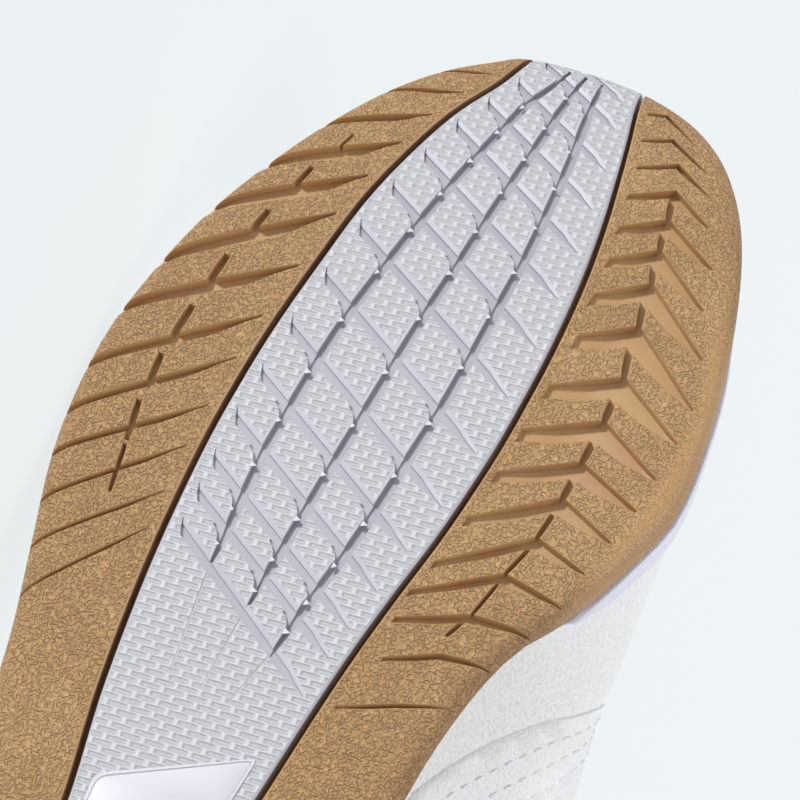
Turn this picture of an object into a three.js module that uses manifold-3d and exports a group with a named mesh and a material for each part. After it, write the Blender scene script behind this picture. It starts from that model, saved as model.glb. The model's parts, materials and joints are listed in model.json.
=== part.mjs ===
// Right indoor court shoe with a gum outsole, at rest on its lateral side.
// The shoe is drawn standing: heel back at x = 0, toe along +X, medial side along +Y, up along +Z.
// Lengths are millimetres, and tables give stations as shares of the sole's length from the toe.
import * as THREE from 'three';
import { mergeGeometries, mergeVertices } from 'three/addons/utils/BufferGeometryUtils.js';
import { ConvexHull } from 'three/addons/math/ConvexHull.js';
import Module from 'manifold-3d';

const wasm = await Module();
wasm.setup();

// Driving sizes
const soleLength = 292;
const ballWidth = 107;
const toeSpring = 15.5;
const heelBevel = 3;
const archRise = 1.6;
const foreSoleHeight = 13.5;
const heelSoleHeight = 23;
const archSoleHeight = 7;
const gumThickness = 4.6;
const lipWall = 2.2;
const treadDepth = 2.2;
const stripThickness = 3;
const grooveWidth = 1.7;
const diagonalPitch = 10.9;
const diagonalSlope = 0.487;
const featherInset = 2.6;
const bodyHeight = 100;
const upperWall = 2;
const collarPadding = 3.2;
const paddingFull = 12;
const paddingFoot = 32;
const overlayWall = 1.3;
const insoleThickness = 4;
const tongueThickness = 4.2;
const throatHalfWidth = 11;
const eyestayWidth = 15;
const eyeletRadius = 2.1;
const eyeletCount = 6;
const eyeletReach = 14;
const laceWidth = 6;
const laceThickness = 1.4;
const laceCrown = 0.6;
const laceGap = 0.8;
const laceReach = 0.66;
const clearance = 0.3;

// Counts of the faceting
const stationCount = 24;
const ringSize = 2 * stationCount;
const farAway = 200;

// How far cutters reach past the forms they cut
const rimReach = 5;
const underTread = 20;
const overTread = 60;
const overFeather = 20;

// Plan of the sole in shares of the ball width from the axis, with the channel for the inlaid strip
const planRows = [
  { at: 0, lateral: 0.037, medial: 0.037, channelLateral: -0.136, channelMedial: 0.07 },
  { at: 0.01, lateral: -0.15, medial: 0.175, channelLateral: -0.143, channelMedial: 0.077 },
  { at: 0.027, lateral: -0.208, medial: 0.248, channelLateral: -0.153, channelMedial: 0.087 },
  { at: 0.051, lateral: -0.271, medial: 0.307, channelLateral: -0.168, channelMedial: 0.106 },
  { at: 0.086, lateral: -0.333, medial: 0.364, channelLateral: -0.201, channelMedial: 0.131 },
  { at: 0.13, lateral: -0.388, medial: 0.413, channelLateral: -0.226, channelMedial: 0.159 },
  { at: 0.178, lateral: -0.436, medial: 0.453, channelLateral: -0.245, channelMedial: 0.181 },
  { at: 0.233, lateral: -0.481, medial: 0.486, channelLateral: -0.254, channelMedial: 0.194 },
  { at: 0.291, lateral: -0.509, medial: 0.499, channelLateral: -0.263, channelMedial: 0.196 },
  { at: 0.329, lateral: -0.518, medial: 0.471, channelLateral: -0.264, channelMedial: 0.191 },
  { at: 0.37, lateral: -0.511, medial: 0.424, channelLateral: -0.261, channelMedial: 0.181 },
  { at: 0.418, lateral: -0.487, medial: 0.362, channelLateral: -0.25, channelMedial: 0.163 },
  { at: 0.479, lateral: -0.433, medial: 0.329, channelLateral: -0.23, channelMedial: 0.144 },
  { at: 0.541, lateral: -0.38, medial: 0.322, channelLateral: -0.202, channelMedial: 0.131 },
  { at: 0.616, lateral: -0.338, medial: 0.331, channelLateral: -0.154, channelMedial: 0.121 },
  { at: 0.702, lateral: -0.322, medial: 0.341, channelLateral: -0.126, channelMedial: 0.136 },
  { at: 0.805, lateral: -0.328, medial: 0.351, channelLateral: -0.13, channelMedial: 0.16 },
  { at: 0.89, lateral: -0.31, medial: 0.336, channelLateral: -0.09, channelMedial: 0.125 },
  { at: 0.952, lateral: -0.225, medial: 0.257, channelLateral: 0, channelMedial: 0.03 },
  { at: 0.986, lateral: -0.105, medial: 0.146, channelLateral: 0, channelMedial: 0.03 },
  { at: 1, lateral: 0.019, medial: 0.019, channelLateral: 0, channelMedial: 0.03 },
];
const stripEnd = 0.935;
const stripRound = 0.06;

// Side wall of the sole: how far its edge is in, and how high, in shares of the edge radius
const edgeRadius = 4.4;
const edgeRows = [
  { inset: 1.2, height: 0 },
  { inset: 0.58, height: 0.12 },
  { inset: 0.22, height: 0.42 },
  { inset: 0.02, height: 1 },
];
const wallLean = 0.8;
const midsoleInset = 0.3;

// How high the gum climbs the side wall, as a share of it, so that the midsole shows in two windows
const lipRows = [
  { at: 0, lip: 1.2 },
  { at: 0.07, lip: 1.2 },
  { at: 0.12, lip: 0.6 },
  { at: 0.19, lip: 0.4 },
  { at: 0.3, lip: 0.38 },
  { at: 0.35, lip: 0.55 },
  { at: 0.4, lip: 1.15 },
  { at: 0.58, lip: 1.15 },
  { at: 0.68, lip: 0.62 },
  { at: 0.8, lip: 0.44 },
  { at: 1, lip: 0.42 },
];

// Body of the shoe above the feather line: ridge height as a share of the body height, and how far
// each side swells past the sole's edge
const bodyRows = [
  { at: 0, ridge: 0.31, swellMedial: 1, swellLateral: 1 },
  { at: 0.11, ridge: 0.31, swellMedial: 1, swellLateral: 1 },
  { at: 0.2, ridge: 0.36, swellMedial: 1, swellLateral: 1 },
  { at: 0.3, ridge: 0.45, swellMedial: 1.01, swellLateral: 0.98 },
  { at: 0.38, ridge: 0.55, swellMedial: 1.25, swellLateral: 0.97 },
  { at: 0.46, ridge: 0.66, swellMedial: 1.56, swellLateral: 0.98 },
  { at: 0.54, ridge: 0.78, swellMedial: 1.55, swellLateral: 1 },
  { at: 0.6, ridge: 0.89, swellMedial: 1.3, swellLateral: 1.02 },
  { at: 0.66, ridge: 0.97, swellMedial: 1.16, swellLateral: 1.03 },
  { at: 0.72, ridge: 1, swellMedial: 1.07, swellLateral: 1.03 },
  { at: 0.85, ridge: 1, swellMedial: 1.02, swellLateral: 1.02 },
  { at: 1, ridge: 1, swellMedial: 1.02, swellLateral: 1.02 },
];
const toeCentre = 0.125;
const heelCentre = 0.885;
const archedUntil = 0.5;
const uprightFrom = 0.68;

// Cross-section of the body from the feather line to the ridge, arched in front and upright behind
const sectionRows = [
  { rise: 0, arched: 0.96, upright: 0.95 },
  { rise: 0.14, arched: 1, upright: 1.02 },
  { rise: 0.34, arched: 1, upright: 0.99 },
  { rise: 0.56, arched: 0.95, upright: 0.91 },
  { rise: 0.75, arched: 0.83, upright: 0.86 },
  { rise: 0.9, arched: 0.61, upright: 0.82 },
  { rise: 0.98, arched: 0.32, upright: 0.76 },
  { rise: 1, arched: 0.1, upright: 0.62 },
];

// Topline of the collar, as a share of the body height above the feather line
const collarRows = [
  { at: 0.56, height: 1.3 },
  { at: 0.6, height: 0.86 },
  { at: 0.64, height: 0.68 },
  { at: 0.69, height: 0.55 },
  { at: 0.76, height: 0.5 },
  { at: 0.84, height: 0.51 },
  { at: 0.91, height: 0.58 },
  { at: 0.96, height: 0.66 },
  { at: 1.01, height: 0.68 },
];
const throatFront = 0.385;
const throatTop = 0.6;
const tongueFront = 0.33;
const tongueTop = 0.662;
const tongueHalfWidth = 24;

// Side panels and heel counter as outlines seen from the side, heights as shares of the body height
const quarterOutline = [
  { at: 0.5, height: -0.05 },
  { at: 0.441, height: 0.01 },
  { at: 0.41, height: 0.06 },
  { at: 0.386, height: 0.14 },
  { at: 0.366, height: 0.3 },
  { at: 0.345, height: 0.6 },
  { at: 0.62, height: 1.1 },
  { at: 0.625, height: 0.6 },
  { at: 0.655, height: 0.3 },
  { at: 0.69, height: -0.05 },
];
const counterOutline = [
  { at: 0.745, height: -0.05 },
  { at: 0.775, height: 0.2 },
  { at: 0.85, height: 0.36 },
  { at: 0.93, height: 0.5 },
  { at: 1.05, height: 0.56 },
  { at: 1.05, height: -0.05 },
];

// Slanted grooves of the lateral gum, from the strip outwards, by the stations of their ends
const lateralGrooves = [
  { inner: 0.068, outer: 0.092, width: 1.2 },
  { inner: 0.095, outer: 0.137, width: 1.6 },
  { inner: 0.126, outer: 0.184, width: 2.4 },
  { inner: 0.16, outer: 0.227, width: 4.6 },
  { inner: 0.196, outer: 0.274, width: 5 },
  { inner: 0.241, outer: 0.316, width: 4.8 },
  { inner: 0.283, outer: 0.36, width: 3.8 },
  { inner: 0.316, outer: 0.395, width: 3 },
  { inner: 0.352, outer: 0.424, width: 2.4 },
  { inner: 0.382, outer: 0.453, width: 2 },
  { inner: 0.415, outer: 0.48, width: 1.6 },
  { inner: 0.438, outer: 0.508, width: 1.2 },
];
const lateralSlots = [
  { from: 0.171, to: 0.193, width: 1.2 },
  { from: 0.213, to: 0.236, width: 1.4 },
  { from: 0.255, to: 0.278, width: 1.6 },
  { from: 0.296, to: 0.321, width: 1.5 },
  { from: 0.333, to: 0.358, width: 1.2 },
  { from: 0.368, to: 0.394, width: 1 },
];
const lateralSlotLine = 0.56;

// Chevron grooves of the medial gum, by the stations of apex and ends, reach as a share of the gum
const medialGrooves = [
  { apex: 0.036, inner: 0.047, outer: 0.053, reach: 0.7, width: 1 },
  { apex: 0.055, inner: 0.07, outer: 0.071, reach: 0.7, width: 1.3 },
  { apex: 0.077, inner: 0.095, outer: 0.095, reach: 0.7, width: 2 },
  { apex: 0.101, inner: 0.122, outer: 0.125, reach: 0.74, width: 3 },
  { apex: 0.126, inner: 0.148, outer: 0.157, reach: 0.76, width: 3.8 },
  { apex: 0.152, inner: 0.177, outer: 0.19, reach: 0.81, width: 4.5 },
  { apex: 0.186, inner: 0.21, outer: 0.225, reach: 0.85, width: 5 },
  { apex: 0.223, inner: 0.249, outer: 0.251, reach: 0.84, width: 4.8 },
  { apex: 0.256, inner: 0.284, outer: 0.278, reach: 0.83, width: 4.3 },
  { apex: 0.287, inner: 0.316, outer: 0.302, reach: 0.82, width: 3.6 },
  { apex: 0.313, inner: 0.35, outer: 0.327, reach: 0.82, width: 3.2 },
  { apex: 0.343, inner: 0.384, outer: 0.352, reach: 0.84, width: 2.4 },
  { apex: 0.373, inner: 0.407, outer: 0.376, reach: 0.88, width: 2 },
  { apex: 0.405, inner: 0.426, outer: 0.399, reach: 0.92, width: 1.7 },
  { apex: 0.437, inner: 0.453, outer: 0.428, reach: 0.92, width: 1.2 },
];
const apexLine = 0.43;
const grooveRim = 2.4;

// Long grooves of the strip: where each runs, from the strip's lateral edge, and where it ends
const stripGrooves = [
  { across: 0.245, to: 0.443 },
  { across: 0.49, to: 0.457 },
  { across: 0.74, to: 0.479 },
];
const diagonalFirst = 0.061;
const diagonalLast = 0.465;

// Height of the sole's side wall, which runs low along the medial arch
function bandHeight(at, medial) {
  const wedge = foreSoleHeight + (heelSoleHeight - foreSoleHeight) * ease(0.3, 0.8, at);
  const arch = ease(0.34, 0.41, at) * (1 - ease(0.5, 0.64, at));
  return medial ? THREE.MathUtils.lerp(wedge, archSoleHeight, arch) : wedge;
}

function ease(from, to, value) {
  return THREE.MathUtils.smoothstep(value, from, to);
}

// Value of a table's column at a station, smooth also where the outline turns round toe and heel
function tableValue(rows, column, at) {
  const turn = (share) => Math.acos(1 - 2 * THREE.MathUtils.clamp(share, 0, 1));
  const spots = rows.map((row) => turn(row.at));
  const spot = turn(at);
  let i = 0;
  while (i < rows.length - 2 && spots[i + 1] < spot) i += 1;
  const slope = (k) => {
    const before = Math.max(k - 1, 0);
    const after = Math.min(k + 1, rows.length - 1);
    return (rows[after][column] - rows[before][column]) / (spots[after] - spots[before]);
  };
  const span = spots[i + 1] - spots[i];
  const t = THREE.MathUtils.clamp((spot - spots[i]) / span, 0, 1);
  const rise = rows[i + 1][column] - rows[i][column];
  const bendStart = slope(i) * span - rise;
  const bendEnd = rise - slope(i + 1) * span;
  return rows[i][column] + t * rise + t * (1 - t) * ((1 - t) * bendStart + t * bendEnd);
}

const xOf = (at) => soleLength * (1 - at);
const atOf = (x) => 1 - x / soleLength;
const edgeY = (side, at) => ballWidth * tableValue(planRows, side, at);

// Height of the lowest face of the tread: flat at ball and heel, sprung at the toe
const springFrom = 0.283;
const bevelFrom = 0.93;
function treadHeight(x) {
  const at = atOf(x);
  const spring = Math.max(0, (springFrom - at) / springFrom);
  const bevel = Math.max(0, (at - bevelFrom) / (1 - bevelFrom));
  const arch = ease(0.43, 0.56, at) * (1 - ease(0.6, 0.7, at));
  return toeSpring * spring ** 2 + heelBevel * bevel ** 2 + archRise * arch;
}
const featherHeight = (x, medial = false) => treadHeight(x) + bandHeight(atOf(x), medial);

// Points of the sole's outline, from the heel along the lateral edge to the toe and back
const outline = Array.from({ length: ringSize }, (_, i) => {
  const j = i <= stationCount ? i : ringSize - i;
  const at = (1 + Math.cos((Math.PI * j) / stationCount)) / 2;
  const side = i <= stationCount ? 'lateral' : 'medial';
  return new THREE.Vector2(xOf(at), edgeY(side, at));
});
const outwards = outline.map((point, i) => {
  const next = outline[(i + 1) % ringSize];
  const last = outline[(i + ringSize - 1) % ringSize];
  return new THREE.Vector2(next.y - last.y, last.x - next.x).normalize();
});

function outlineRing(inset, heightAt) {
  return outline.map((point, i) => {
    const x = point.x - outwards[i].x * inset;
    const y = point.y - outwards[i].y * inset;
    return new THREE.Vector3(x, y, heightAt(x, i > stationCount));
  });
}

// Closed surface through stacked rings, capped by strips that run from side to side
function ringGeometry(rings) {
  const points = rings.flat();
  const size = rings[0].length;
  const half = size / 2;
  const index = [];
  for (let k = 0; k < rings.length - 1; k += 1) {
    for (let i = 0; i < size; i += 1) {
      const next = (i + 1) % size;
      const [a, b] = [k * size + i, k * size + next];
      index.push(a, b, b + size, a, b + size, a + size);
    }
  }
  const top = (rings.length - 1) * size;
  for (let j = 0; j < half; j += 1) {
    const [low, high] = [j, j + 1];
    const [lowPair, highPair] = [(size - low) % size, size - high];
    index.push(low, highPair, high, top + low, top + high, top + highPair);
    if (lowPair !== low) index.push(low, lowPair, highPair, top + low, top + highPair, top + lowPair);
  }
  const kept = [];
  for (let i = 0; i < index.length; i += 3) {
    const [a, b, c] = index.slice(i, i + 3);
    if (a !== b && b !== c && a !== c) kept.push(a, b, c);
  }
  const geometry = new THREE.BufferGeometry();
  geometry.setAttribute('position', new THREE.Float32BufferAttribute(points.flatMap((p) => [...p]), 3));
  geometry.setIndex(kept);
  return geometry;
}

function solidOf(geometry) {
  const bare = geometry.clone();
  bare.deleteAttribute('normal');
  bare.deleteAttribute('uv');
  const merged = mergeVertices(bare, 1e-4);
  const mesh = new wasm.Mesh({
    numProp: 3,
    vertProperties: new Float32Array(merged.attributes.position.array),
    triVerts: new Uint32Array(merged.index.array),
  });
  return new wasm.Manifold(mesh);
}

function geometryOf(solid) {
  const mesh = solid.getMesh();
  const geometry = new THREE.BufferGeometry();
  geometry.setAttribute('position', new THREE.BufferAttribute(mesh.vertProperties, 3));
  geometry.setIndex(new THREE.BufferAttribute(mesh.triVerts, 1));
  const flat = geometry.toNonIndexed();
  flat.computeVertexNormals();
  return flat;
}

const joined = (solids) => solids.reduce((whole, solid) => whole.add(solid));
const cutBy = (solid, cutters) => cutters.reduce((rest, cutter) => rest.subtract(cutter), solid);

// Upright prism over an outline seen from above
function planPrism(points, low, high) {
  const shape = new THREE.Shape(points);
  const geometry = new THREE.ExtrudeGeometry(shape, { depth: high - low, bevelEnabled: false });
  geometry.translate(0, 0, low);
  return solidOf(geometry);
}

// Prism from side to side over an outline seen from the side, with heights above the feather line
function sidePrism(rows, low, high) {
  const points = rows.map(({ at, height }) => {
    const x = xOf(at);
    return new THREE.Vector2(x, featherHeight(THREE.MathUtils.clamp(x, 0, soleLength)) + height * bodyHeight);
  });
  const geometry = new THREE.ExtrudeGeometry(new THREE.Shape(points), { depth: high - low, bevelEnabled: false });
  geometry.rotateX(Math.PI / 2);
  geometry.translate(0, high, 0);
  return solidOf(geometry);
}

// The whole sole from tread to feather line, drawn in by a margin and carried past the feather line
function soleForm(margin, over) {
  const rings = edgeRows.map(({ inset, height }) =>
    outlineRing(inset * edgeRadius + margin, (x) => treadHeight(x) + height * edgeRadius + margin));
  rings.push(outlineRing(wallLean + margin, (x, medial) => featherHeight(x, medial) + over));
  return solidOf(ringGeometry(rings));
}

// Plan outline of the channel between the two gum bands, narrowed by a gap on each side and round
// at its heel end
function channelPlan(gapLateral, gapMedial, end) {
  const steps = 16;
  const from = -0.02;
  const straight = end - stripRound;
  const arc = [0.4, 0.7, 0.9, 1];
  const spots = Array.from({ length: steps + 1 }, (_, i) => from + ((straight - from) * i) / steps);
  const side = (column, gap) => {
    const edge = (at) => edgeY(column, Math.max(at, 0)) + gap(at);
    const points = spots.map((at) => new THREE.Vector2(xOf(at), edge(at)));
    const middle = (edgeY('channelLateral', straight) + edgeY('channelMedial', straight)) / 2;
    const round = arc.map((share) => {
      const narrow = share < 1 ? Math.sqrt(1 - share ** 2) : 0.12;
      return new THREE.Vector2(xOf(straight + stripRound * share), middle + (edge(straight) - middle) * narrow);
    });
    return [...points, ...round];
  };
  return [...side('channelLateral', gapLateral), ...side('channelMedial', gapMedial).reverse()];
}
const sideGap = 1.2;
const toeGap = 1.4;
const gapLateral = () => sideGap;
const gapMedial = (at) => -sideGap - toeGap * (1 - ease(0.02, 0.2, at));

// Groove cut up into the tread over a small plan outline, following the tread's curve
function groove(points, depth) {
  const below = 3;
  const faces = THREE.ShapeUtils.triangulateShape(points, []);
  const size = points.length;
  const low = points.map((p) => new THREE.Vector3(p.x, p.y, treadHeight(p.x) - below));
  const high = points.map((p) => new THREE.Vector3(p.x, p.y, treadHeight(p.x) + depth));
  const index = [];
  const turn = THREE.ShapeUtils.isClockWise(points) ? -1 : 1;
  for (const [a, b, c] of faces) {
    index.push(size + a, size + b, size + c, a, c, b);
  }
  for (let i = 0; i < size; i += 1) {
    const next = (i + 1) % size;
    if (turn > 0) index.push(i, next, size + next, i, size + next, size + i);
    else index.push(next, i, size + i, next, size + i, size + next);
  }
  const geometry = new THREE.BufferGeometry();
  const all = [...low, ...high].flatMap((p) => [...p]);
  geometry.setAttribute('position', new THREE.Float32BufferAttribute(all, 3));
  geometry.setIndex(index);
  return solidOf(geometry);
}

const planPoint = (at, y) => new THREE.Vector2(xOf(at), y);
const toeward = (point, distance) => new THREE.Vector2(point.x - distance, point.y);

// Point across one gum band, from its channel edge at 0 to the sole's edge at 1
function gumPoint(side, at, share) {
  const channel = edgeY(side === 'lateral' ? 'channelLateral' : 'channelMedial', at);
  const edge = edgeY(side, at);
  return planPoint(at, channel + (edge - channel) * share);
}

function lateralGroovePlan({ inner, outer, width }) {
  const start = planPoint(inner, edgeY('channelLateral', inner) - grooveRim);
  const end = gumPoint('lateral', outer, 0.95);
  const middle = start.clone().lerp(end, 0.55);
  return [start, end, toeward(middle, width * 0.8), toeward(start, width)];
}

function medialGroovePlan({ apex, inner, outer, reach, width }) {
  const start = planPoint(inner, edgeY('channelMedial', inner) + grooveRim);
  const top = gumPoint('medial', apex, apexLine);
  const end = gumPoint('medial', outer, reach);
  return [start, top, end, toeward(top, width), toeward(start, width * 0.8)];
}

function slotPlan(side, line, { from, to, width }) {
  const start = gumPoint(side, from, line);
  const end = gumPoint(side, to, line);
  const half = new THREE.Vector2(0, width / 2);
  return [start.clone().sub(half), start.clone().add(half), end.clone().add(half), end.clone().sub(half)];
}

// Slots that part the inner and outer lugs of neighbouring chevrons
function medialSlots() {
  return medialGrooves.slice(3, -1).map((row, i) => {
    const before = medialGrooves[i + 2];
    const from = before.apex + before.width / soleLength;
    return { from, to: row.apex + 0.004, width: Math.min(row.width * 0.45, 1.6) };
  });
}

function stripPoint(across, at) {
  const lateral = edgeY('channelLateral', at);
  const medial = edgeY('channelMedial', at);
  return planPoint(at, lateral + (medial - lateral) * across);
}

function longGroovePlan({ across, to }) {
  const steps = 8;
  const from = 0.012;
  const half = new THREE.Vector2(0, grooveWidth / 2);
  const line = Array.from({ length: steps + 1 }, (_, i) => {
    const at = from + ((to - from) * i) / steps;
    return stripPoint(across, at);
  });
  return [...line.map((p) => p.clone().sub(half)), ...line.reverse().map((p) => p.clone().add(half))];
}

// Diagonal groove across the strip, through a station on its middle line
function diagonalPlan(at) {
  const middle = stripPoint(0.49, at);
  const end = (across, hold) => {
    let y = stripPoint(across, at).y;
    for (let i = 0; i < 4; i += 1) {
      const shift = ((y - middle.y) * diagonalSlope) / soleLength;
      y = stripPoint(across, THREE.MathUtils.clamp(at + shift, 0.004, 1)).y + hold;
    }
    return new THREE.Vector2(middle.x - (y - middle.y) * diagonalSlope, y);
  };
  const lateral = end(0, sideGap + 2.6);
  const medial = end(1, -sideGap - 2.2);
  const half = new THREE.Vector2(grooveWidth * 0.62, 0);
  return [
    lateral.clone().add(half), medial.clone().add(half),
    medial.clone().sub(half), lateral.clone().sub(half),
  ];
}

function diagonalPlans() {
  const count = Math.round(((diagonalLast - diagonalFirst) * soleLength) / diagonalPitch);
  return Array.from({ length: count + 1 }, (_, i) => {
    const share = i / count;
    const at = diagonalFirst + (diagonalLast - diagonalFirst) * (share - 0.09 * Math.sin(Math.PI * share) * (1 - share));
    return diagonalPlan(at);
  });
}

function lipHeight(x, medial) {
  const at = THREE.MathUtils.clamp(atOf(x), 0, 1);
  return treadHeight(x) + bandHeight(at, medial) * tableValue(lipRows, 'lip', at);
}

// Everything under the edge of the gum's lip, as a slab of rings over the whole plan
function belowLip(margin) {
  const low = outlineRing(-rimReach, () => -underTread);
  const high = outlineRing(-rimReach, (x, medial) => lipHeight(x, medial) + margin);
  return solidOf(ringGeometry([low, high]));
}

// Room inside the gum's lip, over its base
function gumPocket(margin) {
  const low = outlineRing(lipWall + margin, (x) => treadHeight(x) + gumThickness + margin);
  const high = outlineRing(lipWall + margin, (x) => featherHeight(x) + overFeather);
  return solidOf(ringGeometry([low, high]));
}

const whole = soleForm(0, -clearance);
const stripCore = (margin) => soleForm(stripThickness + margin, overFeather);

// Room that the inlaid strip takes from the gum and, where it wraps up the toe, from the midsole
function stripRecess() {
  const channel = planPrism(channelPlan(() => 0, () => 0, stripEnd), -underTread, overTread);
  return channel.subtract(stripCore(clearance));
}
const recess = stripRecess();

function gumOutsole() {
  const shell = whole.intersect(belowLip(0)).subtract(gumPocket(0)).subtract(recess);
  const cuts = [
    ...lateralGrooves.map(lateralGroovePlan),
    ...lateralSlots.map((row) => slotPlan('lateral', lateralSlotLine, row)),
    ...medialGrooves.map(medialGroovePlan),
    ...medialSlots().map((row) => slotPlan('medial', apexLine, row)),
  ];
  return shell.subtract(joined(cuts.map((plan) => groove(plan, treadDepth))));
}

function whiteStrip() {
  const channel = planPrism(channelPlan(gapLateral, gapMedial, stripEnd - sideGap / soleLength), -underTread, overTread);
  const skin = whole.subtract(stripCore(0)).intersect(belowLip(-clearance));
  const cuts = [...stripGrooves.map(longGroovePlan), ...diagonalPlans()];
  return skin.intersect(channel).subtract(joined(cuts.map((plan) => groove(plan, treadDepth))));
}

function midsoleBlock() {
  const block = soleForm(midsoleInset, 0);
  const low = outlineRing(-rimReach, (x, medial) => lipHeight(x, medial) + clearance);
  const high = outlineRing(-rimReach, (x) => featherHeight(x) + overFeather);
  const window = solidOf(ringGeometry([low, high]));
  return block.intersect(gumPocket(clearance).add(window)).intersect(underFeather(-clearance)).subtract(recess);
}

// Everything under the feather line, or under a face a margin away from it
function underFeather(margin) {
  return solidOf(ringGeometry([
    outlineRing(-rimReach, () => -underTread),
    outlineRing(-rimReach, (x, medial) => featherHeight(x, medial) + margin),
  ]));
}

// Centre that a point of the outline closes towards: the axis, or the centre of the toe or heel round
function closingCentre(point) {
  const x = THREE.MathUtils.clamp(point.x, xOf(heelCentre), xOf(toeCentre));
  const at = atOf(x);
  return new THREE.Vector2(x, (edgeY('lateral', at) + edgeY('medial', at)) / 2);
}

// Rings of the shoe's body, which follow the last from the feather line to the ridge
function bodyGrid() {
  const base = outlineRing(featherInset, featherHeight);
  return sectionRows.map(({ rise, arched, upright }) => base.map((point, i) => {
    const centre = closingCentre(point);
    const at = atOf(centre.x);
    const side = i <= stationCount ? 'swellLateral' : 'swellMedial';
    const swell = 1 + (tableValue(bodyRows, side, at) - 1) * ease(0, 0.3, rise);
    const share = THREE.MathUtils.lerp(arched, upright, ease(archedUntil, uprightFrom, at)) * swell;
    const floor = featherHeight(point.x, i > stationCount);
    const top = featherHeight(centre.x) + bodyHeight * tableValue(bodyRows, 'ridge', at);
    return new THREE.Vector3(
      centre.x + (point.x - centre.x) * share,
      centre.y + (point.y - centre.y) * share,
      floor + (top - floor) * rise,
    );
  }));
}
const body = bodyGrid();
const bodyNormals = body.map((ring, k) => ring.map((point, i) => {
  const along = ring[(i + 1) % ringSize].clone().sub(ring[(i + ringSize - 1) % ringSize]);
  const above = body[Math.min(k + 1, body.length - 1)][i];
  const under = body[Math.max(k - 1, 0)][i];
  return along.cross(above.clone().sub(under)).normalize();
}));

// The body as a closed solid, grown by a margin that may vary, with its base let down
function bodyForm(marginAt, drop) {
  const rings = body.map((ring, k) => ring.map((point, i) => {
    const moved = point.clone().addScaledVector(bodyNormals[k][i], marginAt(point));
    if (k === 0) moved.z = point.z - drop;
    return moved;
  }));
  return solidOf(ringGeometry(rings));
}

const collarHeight = (x) => featherHeight(x) + bodyHeight * tableValue(collarRows, 'height', atOf(x));

// The wall is thicker along the collar, where it is padded
function innerMargin(point) {
  const rear = ease(0.58, 0.66, atOf(point.x));
  const high = ease(-paddingFoot, -paddingFull, point.z - collarHeight(THREE.MathUtils.clamp(point.x, 0, soleLength)));
  return -(upperWall + collarPadding * rear * high);
}

function collarCutter() {
  const over = [{ at: 1.01, height: 3 }, { at: 0.56, height: 3 }];
  return sidePrism([...collarRows, ...over], -farAway, farAway);
}

// Plan outline of the throat, widened by a margin, from its round front to the collar
function throatPlan(margin, back) {
  const half = (at) => throatHalfWidth * (0.72 + 0.28 * ease(throatFront, throatTop, at)) + margin;
  const centre = (at) => (edgeY('lateral', at) + edgeY('medial', at)) / 2;
  const round = Array.from({ length: 5 }, (_, i) => {
    const angle = (Math.PI * (i + 1)) / 6;
    const size = half(throatFront);
    return new THREE.Vector2(
      xOf(throatFront) + size * Math.sin(angle),
      centre(throatFront) - size * Math.cos(angle),
    );
  });
  const spots = [throatFront, (throatFront + back) / 2, back];
  const lateral = spots.map((at) => new THREE.Vector2(xOf(at), centre(at) - half(at))).reverse();
  const medial = spots.map((at) => new THREE.Vector2(xOf(at), centre(at) + half(at)));
  return [...lateral, ...round, ...medial];
}

const throatFloor = 30;
const throatCutter = () => planPrism(throatPlan(0, 0.72), throatFloor, farAway);

// Eyelets stand in two rows beside the throat, square to the body's surface
const surfaceForm = new THREE.Mesh(geometryOf(bodyForm(() => 0, 0)));
const downward = new THREE.Vector3(0, 0, -1);
function onBody(x, y) {
  const ray = new THREE.Raycaster(new THREE.Vector3(x, y, farAway), downward);
  const hit = ray.intersectObject(surfaceForm)[0];
  return { point: hit.point, normal: hit.face.normal.clone() };
}
const eyeletFirst = 0.395;
const eyeletLast = 0.57;
function eyelet(side, i) {
  const at = eyeletFirst + ((eyeletLast - eyeletFirst) * i) / (eyeletCount - 1);
  const centre = (edgeY('lateral', at) + edgeY('medial', at)) / 2;
  const half = throatHalfWidth * (0.72 + 0.28 * ease(throatFront, throatTop, at));
  return onBody(xOf(at), centre + side * (half + eyestayWidth * 0.45));
}

function eyeletCutters() {
  const cutters = [];
  for (const side of [-1, 1]) {
    for (let i = 0; i < eyeletCount; i += 1) {
      const { point, normal } = eyelet(side, i);
      const pin = new THREE.CylinderGeometry(eyeletRadius, eyeletRadius, eyeletReach, 6);
      pin.applyQuaternion(new THREE.Quaternion().setFromUnitVectors(new THREE.Vector3(0, 1, 0), normal));
      pin.translate(point.x, point.y, point.z);
      cutters.push(solidOf(pin));
    }
  }
  return cutters;
}

const footDrop = 1.5;
const soleBed = underFeather(0);
const eyeletHoles = joined(eyeletCutters());
const collarOpening = collarCutter();
const throatOpening = throatCutter();

function upperShell() {
  const outer = bodyForm(() => 0, footDrop);
  const inner = bodyForm(innerMargin, 8);
  return cutBy(outer, [inner, soleBed, collarOpening, throatOpening, eyeletHoles]);
}

// Overlay that lies on the upper within a region
function overlay(region) {
  const outer = bodyForm(() => clearance + overlayWall, footDrop);
  const inner = bodyForm(() => clearance, 8);
  return cutBy(outer.subtract(inner).intersect(region), [soleBed, collarOpening, throatOpening]);
}

const eyestayRegion = (margin) => planPrism(throatPlan(eyestayWidth + margin, 0.63), throatFloor, farAway);

const eyestay = () => overlay(eyestayRegion(0)).subtract(eyeletHoles);

function quarterPanel(side) {
  const reach = side > 0 ? [8, farAway] : [-farAway, -8];
  return overlay(sidePrism(quarterOutline, ...reach).subtract(eyestayRegion(clearance)));
}

const heelCounter = () => overlay(sidePrism(counterOutline, -farAway, farAway));

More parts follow.
